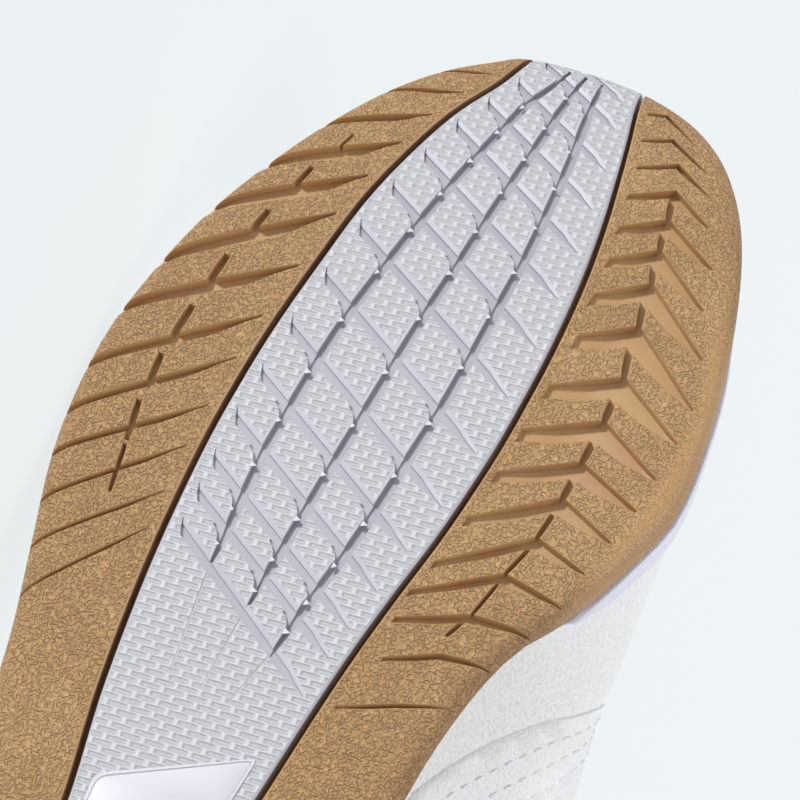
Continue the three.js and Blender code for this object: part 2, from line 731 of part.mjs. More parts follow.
function tongue() {
  const outer = bodyForm((point) => innerMargin(point) - clearance, 0);
  const inner = bodyForm((point) => innerMargin(point) - clearance - tongueThickness, 8);
  const spots = [tongueFront, 0.4, 0.5, 0.6, tongueTop - 0.024, tongueTop - 0.009, tongueTop];
  const centre = (at) => (edgeY('lateral', at) + edgeY('medial', at)) / 2;
  const round = (at) => Math.sqrt(1 - Math.max(0, (at - tongueTop + 0.024) / 0.03) ** 2);
  const half = (at) => tongueHalfWidth * (0.8 + 0.2 * ease(tongueFront, tongueTop, at)) * round(at);
  const plan = [
    ...spots.map((at) => new THREE.Vector2(xOf(at), centre(at) - half(at))).reverse(),
    ...spots.map((at) => new THREE.Vector2(xOf(at), centre(at) + half(at))),
  ];
  return outer.subtract(inner).intersect(planPrism(plan, throatFloor, farAway));
}

function insole() {
  const inset = featherInset + upperWall + 2.4;
  const low = outlineRing(inset, () => 0);
  const high = outlineRing(inset, (x) => featherHeight(x) + overFeather);
  return solidOf(ringGeometry([low, high])).intersect(underFeather(insoleThickness)).subtract(underFeather(0));
}

// Flat lace over the throat, from the eyelet it comes out of to where it dives under the far side
function laceRun(start, end) {
  const steps = 4;
  const lift = clearance + overlayWall + laceGap + laceThickness / 2;
  const run = end.point.clone().sub(start.point);
  const spots = Array.from({ length: steps + 1 }, (_, i) => {
    const place = start.point.clone().addScaledVector(run, (laceReach * i) / steps);
    const { point } = onBody(place.x, place.y);
    const normal = start.normal.clone().lerp(end.normal, i / steps).normalize();
    const crown = laceCrown * Math.sin((Math.PI * i) / steps);
    return { point: point.addScaledVector(normal, lift + crown), normal };
  });
  const rings = spots.map(({ point, normal }) => {
    const wide = normal.clone().cross(run).normalize().multiplyScalar(laceWidth / 2);
    const tall = normal.clone().multiplyScalar(laceThickness / 2);
    return [
      point.clone().sub(wide).sub(tall), point.clone().add(wide).sub(tall),
      point.clone().add(wide).add(tall), point.clone().sub(wide).add(tall),
    ];
  });
  const geometry = new THREE.BufferGeometry();
  geometry.setAttribute('position', new THREE.Float32BufferAttribute(rings.flat().flatMap((p) => [...p]), 3));
  const index = [];
  for (let k = 0; k < steps; k += 1) {
    for (let i = 0; i < 4; i += 1) {
      const [a, b] = [4 * k + i, 4 * k + ((i + 1) % 4)];
      index.push(a, b + 4, a + 4, a, b, b + 4);
    }
  }
  const last = 4 * steps;
  index.push(0, 2, 1, 0, 3, 2, last, last + 1, last + 2, last, last + 2, last + 3);
  geometry.setIndex(index);
  return solidOf(geometry);
}

function laceCrossings() {
  return Array.from({ length: eyeletCount - 1 }, (_, i) => {
    const overLateral = laceRun(eyelet(-1, i), eyelet(1, i + 1));
    const overMedial = laceRun(eyelet(1, i), eyelet(-1, i + 1));
    return overLateral.add(overMedial);
  });
}

// Materials
const gum = { color: 0xbe965f, roughness: 0.62, metalness: 0 };
const whiteRubber = { color: 0xd9dce2, roughness: 0.6, metalness: 0 };
const whiteFoam = { color: 0xdfe0f0, roughness: 0.55, metalness: 0 };
const whiteLeather = { color: 0xe1e6e4, roughness: 0.7, metalness: 0 };
const whiteCloth = { color: 0xdadedd, roughness: 0.9, metalness: 0 };

const pieces = [
  ['outsole_gum', gumOutsole(), gum],
  ['outsole_strip', whiteStrip(), whiteRubber],
  ['midsole', midsoleBlock(), whiteFoam],
  ['insole', insole(), whiteCloth],
  ['upper', upperShell(), whiteLeather],
  ['tongue', tongue(), whiteCloth],
  ['eyestay', eyestay(), whiteLeather],
  ['quarter_medial', quarterPanel(1), whiteLeather],
  ['quarter_lateral', quarterPanel(-1), whiteLeather],
  ['heel_counter', heelCounter(), whiteLeather],
  ...laceCrossings().map((solid, i) => [`lace_crossing_${i + 1}`, solid, whiteCloth]),
];

const shoe = new THREE.Group();
for (const [name, solid, finish] of pieces) {
  const mesh = new THREE.Mesh(geometryOf(solid), new THREE.MeshStandardMaterial(finish));
  mesh.name = name;
  shoe.add(mesh);
}

// At rest the shoe lies on the lateral face of its hull that its middle stands over
function restingTurn() {
  const places = mergeGeometries(shoe.children.map((mesh) => {
    const bare = mesh.geometry.clone();
    bare.deleteAttribute('normal');
    return bare;
  }));
  const spots = [];
  const spot = places.attributes.position;
  for (let i = 0; i < spot.count; i += 1) spots.push(new THREE.Vector3().fromBufferAttribute(spot, i));
  const middle = balancePoint();
  const hull = new ConvexHull().setFromPoints(spots);
  const steady = hull.faces.filter((face) => face.normal.y < -0.6 && isOver(face, middle));
  const up = steady[0].normal.clone().negate();
  const toe = new THREE.Vector3(-1, 0, 0);
  toe.addScaledVector(up, -toe.dot(up)).normalize();
  const across = up.clone().cross(toe);
  return new THREE.Matrix4().makeBasis(toe, across, up).transpose();
}

// Whether a point stands straight over a face of the hull
function isOver(face, middle) {
  const corners = [face.edge, face.edge.next, face.edge.next.next].map((edge) => edge.head().point);
  return corners.every((corner, i) => {
    const side = corners[(i + 1) % 3].clone().sub(corner);
    return side.cross(middle.clone().sub(corner)).dot(face.normal) >= 0;
  });
}

// Densities in grams per cubic centimetre, for where the shoe balances
const leatherDensity = 0.85;
const densities = { outsole_gum: 1.12, outsole_strip: 1.12, midsole: 0.25, insole: 0.3, tongue: 0.4 };

// Centre of the shoe's weight
function balancePoint() {
  const sum = new THREE.Vector3();
  let total = 0;
  const [a, b, c] = [new THREE.Vector3(), new THREE.Vector3(), new THREE.Vector3()];
  for (const mesh of shoe.children) {
    const spot = mesh.geometry.attributes.position;
    const density = densities[mesh.name] ?? leatherDensity;
    for (let i = 0; i < spot.count; i += 3) {
      a.fromBufferAttribute(spot, i);
      b.fromBufferAttribute(spot, i + 1);
      c.fromBufferAttribute(spot, i + 2);
      const weight = (density * a.dot(b.clone().cross(c))) / 6;
      sum.addScaledVector(a.add(b).add(c), weight / 4);
      total += weight;
    }
  }
  return sum.divideScalar(total);
}

shoe.quaternion.setFromRotationMatrix(restingTurn());
shoe.updateMatrixWorld(true);
const extent = new THREE.Box3().setFromObject(shoe, true);
shoe.position.set(-(extent.min.x + extent.max.x) / 2, -(extent.min.y + extent.max.y) / 2, -extent.min.z);

const group = new THREE.Group();
group.add(shoe);

export default group;
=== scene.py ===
# Right indoor court shoe with a gum outsole, lying on its lateral side
import json
import math

import bmesh
import bpy
import numpy as np
from mathutils import Matrix, Vector
from mathutils.bvhtree import BVHTree


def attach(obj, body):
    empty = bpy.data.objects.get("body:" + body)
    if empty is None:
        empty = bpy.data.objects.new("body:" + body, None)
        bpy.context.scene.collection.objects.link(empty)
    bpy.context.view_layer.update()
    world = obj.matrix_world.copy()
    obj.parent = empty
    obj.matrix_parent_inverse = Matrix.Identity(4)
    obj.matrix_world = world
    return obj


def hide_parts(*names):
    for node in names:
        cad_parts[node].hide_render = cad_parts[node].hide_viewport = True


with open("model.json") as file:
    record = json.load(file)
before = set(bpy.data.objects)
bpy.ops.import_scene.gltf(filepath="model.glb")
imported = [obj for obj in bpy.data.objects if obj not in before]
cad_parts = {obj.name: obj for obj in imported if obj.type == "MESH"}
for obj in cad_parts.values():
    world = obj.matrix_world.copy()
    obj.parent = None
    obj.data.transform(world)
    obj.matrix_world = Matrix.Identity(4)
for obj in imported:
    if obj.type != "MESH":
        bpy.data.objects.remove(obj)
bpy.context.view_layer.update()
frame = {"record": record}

print("frame loaded")

# The shoe is modelled standing, in millimetres: heel at x = 0, toe along +x, medial side along +y.
# Stations are shares of its length from the toe.
sole = {
    "length": 292.0,
    "ballWidth": 107.0,
    "toeSpring": 15.5,
    "springFrom": 0.283,
    "heelBevel": 3.0,
    "bevelFrom": 0.93,
    "archRise": 1.6,
    "foreHeight": 13.5,
    "heelHeight": 23.0,
    "archHeight": 7.0,
    "edgeRadius": 4.4,
    "wallLean": 0.8,
    "featherInset": 2.6,
    "clearance": 0.3,
    "liftMost": 2.4,  # of a cutter over the rounded edge
    "points": 96,  # stations from heel to toe
}

planRows = {
    "at": [0, 0.01, 0.027, 0.051, 0.086, 0.13, 0.178, 0.233, 0.291, 0.329, 0.37, 0.418, 0.479, 0.541, 0.616,
           0.702, 0.805, 0.89, 0.952, 0.986, 1],
    "lateral": [0.037, -0.15, -0.208, -0.271, -0.333, -0.388, -0.436, -0.481, -0.509, -0.518, -0.511, -0.487,
                -0.433, -0.38, -0.338, -0.322, -0.328, -0.31, -0.225, -0.105, 0.019],
    "medial": [0.037, 0.175, 0.248, 0.307, 0.364, 0.413, 0.453, 0.486, 0.499, 0.471, 0.424, 0.362, 0.329, 0.322,
               0.331, 0.341, 0.351, 0.336, 0.257, 0.146, 0.019],
    "channelLateral": [-0.136, -0.143, -0.153, -0.168, -0.201, -0.226, -0.245, -0.254, -0.263, -0.264, -0.261,
                       -0.25, -0.23, -0.202, -0.154, -0.126, -0.13, -0.09, 0, 0, 0],
    "channelMedial": [0.07, 0.077, 0.087, 0.106, 0.131, 0.159, 0.181, 0.194, 0.196, 0.191, 0.181, 0.163, 0.144,
                      0.131, 0.121, 0.136, 0.16, 0.125, 0.03, 0.03, 0.03],
}


def ease(low, high, value):
    t = np.clip((np.asarray(value, float) - low) / (high - low), 0, 1)
    return t * t * (3 - 2 * t)


def tableValue(rows, column, at):
    # smooth also where the outline turns round toe and heel
    spots = np.arccos(1 - 2 * np.clip(np.asarray(rows["at"], float), 0, 1))
    values = np.asarray(rows[column], float)
    spot = np.arccos(1 - 2 * np.clip(np.asarray(at, float), 0, 1))
    i = np.clip(np.searchsorted(spots, spot, side="left") - 1, 0, len(spots) - 2)
    k = np.arange(len(spots))
    before, after = np.maximum(k - 1, 0), np.minimum(k + 1, len(spots) - 1)
    slope = (values[after] - values[before]) / (spots[after] - spots[before])
    span = spots[i + 1] - spots[i]
    t = np.clip((spot - spots[i]) / span, 0, 1)
    rise = values[i + 1] - values[i]
    bendStart = slope[i] * span - rise
    bendEnd = rise - slope[i + 1] * span
    return values[i] + t * rise + t * (1 - t) * ((1 - t) * bendStart + t * bendEnd)


def stationOf(x):
    return 1 - np.asarray(x, float) / sole["length"]


def xOf(at):
    return sole["length"] * (1 - np.asarray(at, float))


def edgeY(side, at):
    return sole["ballWidth"] * tableValue(planRows, side, at)


def midY(at):
    return (edgeY("lateral", at) + edgeY("medial", at)) / 2


def treadHeight(x):
    at = stationOf(x)
    spring = np.maximum(0, (sole["springFrom"] - at) / sole["springFrom"])
    bevel = np.maximum(0, (at - sole["bevelFrom"]) / (1 - sole["bevelFrom"]))
    arch = ease(0.43, 0.56, at) * (1 - ease(0.6, 0.7, at))
    return sole["toeSpring"] * spring ** 2 + sole["heelBevel"] * bevel ** 2 + sole["archRise"] * arch


def bandHeight(at, medial):
    wedge = sole["foreHeight"] + (sole["heelHeight"] - sole["foreHeight"]) * ease(0.3, 0.8, at)
    arch = ease(0.34, 0.41, at) * (1 - ease(0.5, 0.64, at))
    return np.where(medial, wedge + (sole["archHeight"] - wedge) * arch, wedge)


def featherHeight(x, medial=False):
    return treadHeight(x) + bandHeight(np.clip(stationOf(x), 0, 1), medial)


# Outline of the sole, from the heel along the lateral edge to the toe and back
half = sole["points"]
turn = np.concatenate([np.arange(half + 1), np.arange(half - 1, 0, -1)])
onMedial = np.arange(2 * half) > half
outlineAt = (1 + np.cos(np.pi * turn / half)) / 2
outlineX = xOf(outlineAt)
outlineY = np.where(onMedial, edgeY("medial", outlineAt), edgeY("lateral", outlineAt))
tangentX = np.roll(outlineX, -1) - np.roll(outlineX, 1)
tangentY = np.roll(outlineY, -1) - np.roll(outlineY, 1)
tangentSize = np.hypot(tangentX, tangentY)
outX, outY = tangentY / tangentSize, -tangentX / tangentSize


def outlineRing(inset, heightAt):
    inset = inset if np.ndim(inset) else np.full(2 * half, float(inset))
    x, y = outlineX - outX * inset, outlineY - outY * inset
    z = heightAt(x) if callable(heightAt) else np.broadcast_to(np.asarray(heightAt, float), x.shape)
    return np.stack([x, y, z], 1)


def edgeDistance(x, y):
    # how far a plan point lies inside the sole's outline
    ax, ay = outlineX, outlineY
    bx, by = np.roll(outlineX, -1), np.roll(outlineY, -1)
    length = (bx - ax) ** 2 + (by - ay) ** 2
    t = np.clip(((x - ax) * (bx - ax) + (y - ay) * (by - ay)) / length, 0, 1)
    px, py = ax + t * (bx - ax), ay + t * (by - ay)
    k = int(np.argmin((px - x) ** 2 + (py - y) ** 2))
    return float((px[k] - x) * outX[k] + (py[k] - y) * outY[k])


edgeInset = [1.2, 0.86, 0.58, 0.36, 0.2, 0.08, 0.02]  # profile of the rounded edge, in edge radii
edgeRise = [0, 0.04, 0.12, 0.27, 0.46, 0.72, 1]


def edgeLift(x, y):
    inside = edgeDistance(x, y) / sole["edgeRadius"]
    return min(sole["edgeRadius"] * float(np.interp(inside, edgeInset[::-1], edgeRise[::-1])), sole["liftMost"])


# Place of the standing shoe in the row's frame, from the two mounts under its tread
spots = {mount["name"]: mount for mount in frame["record"]["mounts"]}
heelSpot = Vector(spots["tread_heel"]["pos_m"])
toeway = Vector(spots["tread_ball"]["pos_m"]) - heelSpot
upway = -Vector(spots["tread_heel"]["axis"]).normalized()
toeway = (toeway - upway * toeway.dot(upway)).normalized()
sideway = upway.cross(toeway)
heelPlace = {"x": 60.0, "y": 2.0}
turned = Matrix((toeway, sideway, upway)).transposed()
corner = heelSpot - 0.001 * (toeway * heelPlace["x"] + sideway * heelPlace["y"])
standing = Matrix.Translation(corner) @ turned.to_4x4() @ Matrix.Scale(0.001, 4)

# Camera of the photograph, looking up at the forefoot's tread
camera = {"centre": (5.126, 135.684, -475.287), "right": (0.46194, 0.88501, 0.05798),
          "down": (-0.80391, 0.39020, 0.44886), "ahead": (0.37462, -0.25396, 0.89172),
          "lens": 135.0, "sensor": 36, "reach": 20}
bpy.ops.object.select_all(action="DESELECT")
bpy.ops.object.camera_add()
view = bpy.context.object
view.name = "view"
view.data.lens = camera["lens"]
view.data.sensor_width = camera["sensor"]
view.data.clip_end = camera["reach"]
look = Matrix((Vector(camera["right"]), -Vector(camera["down"]), -Vector(camera["ahead"]))).transposed()
look = turned @ look
view.matrix_world = Matrix.Translation(standing @ Vector(camera["centre"])) @ look.to_4x4()
bpy.context.scene.camera = view
print("camera set")


# Helpers for modelling
def clearPick():
    if bpy.context.mode != "OBJECT":
        bpy.ops.object.mode_set(mode="OBJECT")
    bpy.ops.object.select_all(action="DESELECT")


def pick(piece):
    clearPick()
    piece.select_set(True)
    bpy.context.view_layer.objects.active = piece


def editAll(piece):
    pick(piece)
    bpy.ops.object.mode_set(mode="EDIT")
    bpy.ops.mesh.select_all(action="SELECT")


def shapeGrid(name, rings, closed=True, capped=True, endless=False, ladder=False):
    # a grid is added, laid on the rings, sewn where it closes and capped, across in rungs if it bends
    rings = np.asarray(rings, float)
    wide = np.concatenate([rings, rings[:, :1]], 1) if closed else rings
    if endless:
        wide = np.concatenate([wide, wide[:1]], 0)
    clearPick()
    bpy.ops.mesh.primitive_grid_add(x_subdivisions=wide.shape[1] - 1, y_subdivisions=wide.shape[0] - 1, size=1)
    piece = bpy.context.object
    piece.name = name
    piece.data.name = name
    piece.data.vertices.foreach_set("co", wide.reshape(-1, 3).astype(np.float32).ravel())
    piece.data.update()
    if ladder:
        joinAll([piece, rungs(rings[0], name), rungs(rings[-1], name)], name)
        capped = False
    editAll(piece)
    bpy.ops.mesh.remove_doubles(threshold=1e-4)
    if capped and not endless:
        bpy.ops.mesh.select_all(action="DESELECT")
        bpy.ops.mesh.select_non_manifold()
        bpy.ops.mesh.fill_holes(sides=0)
        bpy.ops.mesh.select_all(action="SELECT")
    bpy.ops.mesh.dissolve_degenerate(threshold=1e-5)
    bpy.ops.mesh.select_all(action="SELECT")
    bpy.ops.mesh.normals_make_consistent(inside=False)
    bpy.ops.object.mode_set(mode="OBJECT")
    return piece


def rungs(ring, name):
    # a cap whose rows run from one side of the shoe to the other
    count = len(ring)
    share = np.linspace(0, 1, 7)[None, :, None]
    j = np.arange(count // 2 + 1)
    rows = ring[j][:, None] * (1 - share) + ring[(count - j) % count][:, None] * share
    return shapeGrid(name + "_cap", rows, closed=False, capped=False)


def combine(piece, tool, way="DIFFERENCE", keepTool=False):
    pick(piece)
    change = piece.modifiers.new("combine", "BOOLEAN")
    change.operation = way
    change.object = tool
    change.solver = "EXACT"
    bpy.ops.object.modifier_apply(modifier=change.name)
    if not keepTool:
        bpy.data.objects.remove(tool)
    return piece


def joinAll(pieces, name):
    clearPick()
    for piece in pieces:
        piece.select_set(True)
    bpy.context.view_layer.objects.active = pieces[0]
    bpy.ops.object.join()
    pieces[0].name = name
    return pieces[0]


def dress(piece, *finishes):
    piece.data.materials.clear()
    for finish in finishes:
        piece.data.materials.append(finish)


def sliceAlong(piece, step, low=-2.0, high=294.0):
    # rows of vertices for the bend that follows
    editAll(piece)
    x = low + step
    while x < high:
        bpy.ops.mesh.select_all(action="SELECT")
        bpy.ops.mesh.bisect(plane_co=(x, 0, 0), plane_no=(1, 0, 0), use_fill=False)
        x += step
    bpy.ops.object.mode_set(mode="OBJECT")


def coordsOf(piece):
    co = np.empty(len(piece.data.vertices) * 3, np.float32)
    piece.data.vertices.foreach_get("co", co)
    return co.reshape(-1, 3)


def setCoords(piece, co):
    piece.data.vertices.foreach_set("co", np.asarray(co, np.float32).ravel())
    piece.data.update()


def bendOnTread(piece):
    co = coordsOf(piece)
    co[:, 2] += treadHeight(co[:, 0])
    setCoords(piece, co)


def planMap(piece):
    # the pattern's map is the plan of the standing shoe, in decimetres
    while piece.data.uv_layers:
        piece.data.uv_layers.remove(piece.data.uv_layers[0])
    piece.data.uv_layers.new(name="plan")
    co = coordsOf(piece)
    loops = np.empty(len(piece.data.loops), np.int32)
    piece.data.loops.foreach_get("vertex_index", loops)
    spot = co[loops]
    along = spot[:, 0] + np.maximum(0, spot[:, 2] - treadHeight(spot[:, 0])) * (spot[:, 0] > 284)
    uv = np.stack([along / 100, spot[:, 1] / 100], 1).astype(np.float32)
    piece.data.uv_layers[0].data.foreach_set("uv", uv.ravel())


def settle(piece, slot, *nodes, angle=40):
    # mapped, and moved into the row's frame with its place in its mesh
    planMap(piece)
    piece.data.transform(standing)
    pick(piece)
    bpy.ops.object.shade_smooth_by_angle(angle=math.radians(angle))
    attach(piece, "root")
    if nodes:
        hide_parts(*nodes)


def unit(rows):
    return rows / np.maximum(np.linalg.norm(rows, axis=-1, keepdims=True), 1e-9)


def squareTo(ways, along):
    # what of each way is square to the run
    return unit(ways - along * (ways * along).sum(-1, keepdims=True))


# Finishes
def newFinish(name, color, roughness, sheen=0.0):
    finish = bpy.data.materials.new(name)
    finish.use_nodes = True
    finish.diffuse_color = (*color, 1)
    shader = finish.node_tree.nodes["Principled BSDF"]
    shader.inputs["Base Color"].default_value = (*color, 1)
    shader.inputs["Roughness"].default_value = roughness
    shader.inputs["Sheen Weight"].default_value = sheen
    return finish, finish.node_tree, shader


def addNode(tree, kind, **settings):
    node = tree.nodes.new(kind)
    for key, value in settings.items():
        if key in node.inputs.keys():
            node.inputs[key].default_value = value
        else:
            setattr(node, key, value)
    return node


def calc(tree, operation, *values):
    node = addNode(tree, "ShaderNodeMath", operation=operation)
    for socket, value in zip(node.inputs, values):
        if isinstance(value, float):
            socket.default_value = value
        else:
            tree.links.new(value, socket)
    return node.outputs[0]


def times(tree, first, second):
    return calc(tree, "MULTIPLY", first, second)


def plus(tree, first, second):
    return calc(tree, "ADD", first, second)


def minus(tree, first, second):
    return calc(tree, "SUBTRACT", first, second)


def smoothBetween(tree, value, low, high):
    node = addNode(tree, "ShaderNodeMapRange", interpolation_type="SMOOTHSTEP")
    node.inputs["From Min"].default_value = low
    node.inputs["From Max"].default_value = high
    tree.links.new(value, node.inputs["Value"])
    return node.outputs["Result"]


def objectPlace(tree):
    return addNode(tree, "ShaderNodeTexCoord").outputs["Object"]


def noise(tree, place, scale, detail=2.0, roughness=0.5, distortion=0.0):
    node = addNode(tree, "ShaderNodeTexNoise", Scale=scale, Detail=detail, Roughness=roughness, Distortion=distortion)
    tree.links.new(place, node.inputs["Vector"])
    return node.outputs["Fac"]


def blendColors(tree, factor, low, high):
    mix = addNode(tree, "ShaderNodeMix", data_type="RGBA")
    if isinstance(low, tuple):
        mix.inputs[6].default_value = (*low, 1)
    else:
        tree.links.new(low, mix.inputs[6])
    mix.inputs[7].default_value = (*high, 1)
    tree.links.new(factor, mix.inputs[0])
    return mix.outputs[2]


def bump(tree, shader, height, depth):
    node = addNode(tree, "ShaderNodeBump", Strength=1.0, Distance=depth)
    tree.links.new(height, node.inputs["Height"])
    tree.links.new(node.outputs["Normal"], shader.inputs["Normal"])


def cover(tree, shader, color, height, depth):
    tree.links.new(color, shader.inputs["Base Color"])
    bump(tree, shader, height, depth)


def patches(tree, place, scale, low, high):
    # broad soft patches of two near colours
    return blendColors(tree, smoothBetween(tree, noise(tree, place, scale, 3.0), 0.35, 0.7), low, high)


# gap is a dark painted shade for the walls of the strip's channel
gumLook = {"top": (0.45, 0.257, 0.108), "valleyShade": (0.35, 0.196, 0.079), "floor": (0.44, 0.255, 0.118),
           "gap": (0.22, 0.10, 0.035), "worn": (0.62, 0.40, 0.19), "scuffed": (0.74, 0.58, 0.42),
           "grain": 1300.0, "grainDepth": 0.00042}


def gumTopFinish():
    finish, tree, shader = newFinish("gum_grain", gumLook["top"], 0.6)
    place = objectPlace(tree)
    cells = noise(tree, place, gumLook["grain"], 0.6, 0.4, 0.4)
    ridge = calc(tree, "ABSOLUTE", minus(tree, cells, 0.5))
    plateau = minus(tree, 1.0, smoothBetween(tree, ridge, -0.02, 0.2))
    polished = addNode(tree, "ShaderNodeAttribute", attribute_name="polished").outputs["Fac"]
    plateau = calc(tree, "MAXIMUM", plateau, polished)
    fine = noise(tree, place, 3200.0, 2.0)
    scuffs = times(tree, smoothBetween(tree, noise(tree, place, 420.0, 4.0, 0.7), 0.66, 0.74), polished)
    worn = smoothBetween(tree, noise(tree, place, 38.0, 3.0), 0.42, 0.72)
    # painted shade: the grain's hollows take the darker colour, so the shading follows the relief
    color = blendColors(tree, plateau, gumLook["valleyShade"], gumLook["top"])
    color = blendColors(tree, times(tree, worn, 0.22), color, gumLook["worn"])
    color = blendColors(tree, times(tree, scuffs, 0.5), color, gumLook["scuffed"])
    rough = plus(tree, 0.5, times(tree, fine, 0.2))
    tree.links.new(minus(tree, rough, times(tree, polished, 0.2)), shader.inputs["Roughness"])
    cover(tree, shader, color, plus(tree, plateau, times(tree, fine, 0.25)), gumLook["grainDepth"])
    return finish


# painted shade: the walls of the strip's channel are coloured dark brown for the shadow in that deep, narrow recess
def gumRecessShadeFinish():
    finish, tree, shader = newFinish("gum_recess_shade", gumLook["gap"], 0.7)
    broad = noise(tree, objectPlace(tree), 90.0, 3.0)
    color = blendColors(tree, smoothBetween(tree, broad, 0.35, 0.7), gumLook["gap"], (0.28, 0.14, 0.055))
    cover(tree, shader, color, broad, 0.00004)
    return finish


def gumFloorFinish():
    finish, tree, shader = newFinish("gum_smooth", gumLook["floor"], 0.48)
    place = objectPlace(tree)
    color = patches(tree, place, 60.0, gumLook["floor"], (0.46, 0.29, 0.13))
    cover(tree, shader, color, noise(tree, place, 2600.0, 2.0), 0.00004)
    return finish


# bar is a painted shade colour for the sunken bars of the weave, knot a painted highlight colour for its raised knots
stripLook = {"bar": (0.405, 0.405, 0.425), "knot": (0.53, 0.53, 0.555), "smooth": (0.44, 0.44, 0.49),
             "barLength": 4.3, "rowPitch": 1.2, "rowTilt": -9.0, "depth": 0.0004}


def stripWeaveFinish():
    finish, tree, shader = newFinish("strip_weave", stripLook["bar"], 0.55)
    plan = addNode(tree, "ShaderNodeUVMap", uv_map="plan")
    tilt = math.radians(-stripLook["rowTilt"])
    mapping = addNode(tree, "ShaderNodeMapping", Rotation=(0, 0, tilt), Scale=(100, 100, 100))
    tree.links.new(plan.outputs["UV"], mapping.inputs["Vector"])
    split = addNode(tree, "ShaderNodeSeparateXYZ")
    tree.links.new(mapping.outputs["Vector"], split.inputs[0])
    across = calc(tree, "DIVIDE", split.outputs[0], stripLook["rowPitch"])
    along = calc(tree, "DIVIDE", split.outputs[1], stripLook["barLength"])
    shift = times(tree, calc(tree, "MODULO", calc(tree, "FLOOR", across), 2.0), 0.5)
    inBar = calc(tree, "FRACT", plus(tree, along, shift))
    inRow = calc(tree, "FRACT", across)
    # a bar's round back across the row, and the knot where two bars of a row meet
    back = times(tree, times(tree, inRow, minus(tree, 1.0, inRow)), 4.0)
    toEnd = times(tree, calc(tree, "ABSOLUTE", minus(tree, inBar, 0.5)), 2.0)
    knot = smoothBetween(tree, toEnd, 0.6, 0.95)
    bar = times(tree, smoothBetween(tree, back, 0.2, 0.95), minus(tree, 1.0, knot))
    height = plus(tree, times(tree, bar, -0.55), times(tree, knot, 0.35))
    fine = noise(tree, objectPlace(tree), 2400.0, 2.0)
    # painted shade and painted highlight: sunken bars are coloured darker, the raised knots and the rows' edges
    # lighter
    color = blendColors(tree, bar, stripLook["knot"], stripLook["bar"])
    cover(tree, shader, color, plus(tree, height, times(tree, fine, 0.3)), stripLook["depth"])
    return finish


def plainFinish(name, color, second, roughness, grain, depth):
    finish, tree, shader = newFinish(name, color, roughness)
    place = objectPlace(tree)
    cover(tree, shader, patches(tree, place, 30.0, color, second), noise(tree, place, grain, 3.0, 0.6), depth)
    return finish


def leatherFinish(name, color, second, grain, depth):
    finish, tree, shader = newFinish(name, color, 0.5)
    place = objectPlace(tree)
    pebble = addNode(tree, "ShaderNodeTexVoronoi", feature="SMOOTH_F1", Scale=grain, Smoothness=0.6)
    tree.links.new(place, pebble.inputs["Vector"])
    fine = noise(tree, place, grain * 1.9, 3.0, 0.6)
    height = plus(tree, times(tree, pebble.outputs["Distance"], -0.9), times(tree, fine, 1.1))
    pores = minus(tree, 1.0, smoothBetween(tree, height, -0.1, 0.12))
    color = patches(tree, place, 26.0, color, second)
    cover(tree, shader, blendColors(tree, times(tree, pores, 0.2), color, (0.52, 0.54, 0.52)), height, depth)
    return finish


def clothFinish(name, color, second, threads, depth):
    finish, tree, shader = newFinish(name, color, 0.85, 0.3)
    place = objectPlace(tree)
    split = addNode(tree, "ShaderNodeSeparateXYZ")
    tree.links.new(place, split.inputs[0])
    x, y, z = split.outputs
    first = calc(tree, "SINE", times(tree, plus(tree, x, z), threads))
    other = calc(tree, "SINE", times(tree, minus(tree, y, z), threads))
    knit = times(tree, plus(tree, times(tree, first, other), 1.0), 0.5)
    fine = noise(tree, place, 2200.0, 2.0)
    cover(tree, shader, blendColors(tree, knit, second, color), plus(tree, knit, times(tree, fine, 0.5)), depth)
    return finish


leatherWhites = ((0.89, 0.90, 0.89), (0.92, 0.925, 0.915))
gumTop = gumTopFinish()
gumFloor = gumFloorFinish()
gumRecessShade = gumRecessShadeFinish()
stripWeave = stripWeaveFinish()
stripSmooth = plainFinish("strip_smooth", stripLook["smooth"], (0.48, 0.48, 0.535), 0.5, 1800.0, 0.00003)
# painted shade: the floors and walls of the strip's grooves are coloured darker than its tops
stripFloorShade = plainFinish("strip_floor_shade", (0.36, 0.36, 0.40), (0.39, 0.39, 0.43), 0.5, 1800.0, 0.00003)
# the plain field's colour, used also as a painted highlight on the lateral rim of each long groove and the heel-side
# rim of each diagonal
stripFieldAndRimHighlight = plainFinish("strip_field_and_rim_highlight", (0.53, 0.53, 0.575), (0.56, 0.56, 0.60), 0.42, 1400.0, 0.00002)
midsoleWhite = plainFinish("midsole_white", (0.73, 0.725, 0.84), (0.76, 0.755, 0.86), 0.5, 1500.0, 0.00002)
upperLeather = leatherFinish("upper_leather", *leatherWhites, 1700.0, 0.00018)
overlayLeather = leatherFinish("overlay_leather", *leatherWhites, 1900.0, 0.00013)
liningCloth = clothFinish("lining_cloth", (0.74, 0.76, 0.76), (0.60, 0.62, 0.63), 5200.0, 0.00012)
tongueCloth = clothFinish("tongue_cloth", (0.78, 0.80, 0.79), (0.66, 0.68, 0.68), 4200.0, 0.00018)
insoleCloth = clothFinish("insole_cloth", (0.62, 0.64, 0.66), (0.5, 0.52, 0.54), 6400.0, 0.0001)
laceCloth = clothFinish("lace_cloth", (0.84, 0.86, 0.855), (0.66, 0.68, 0.69), 7400.0, 0.00022)
threadWhite = plainFinish("thread_white", (0.82, 0.82, 0.88), (0.74, 0.74, 0.84), 0.45, 6000.0, 0.00005)
print("finishes ready")


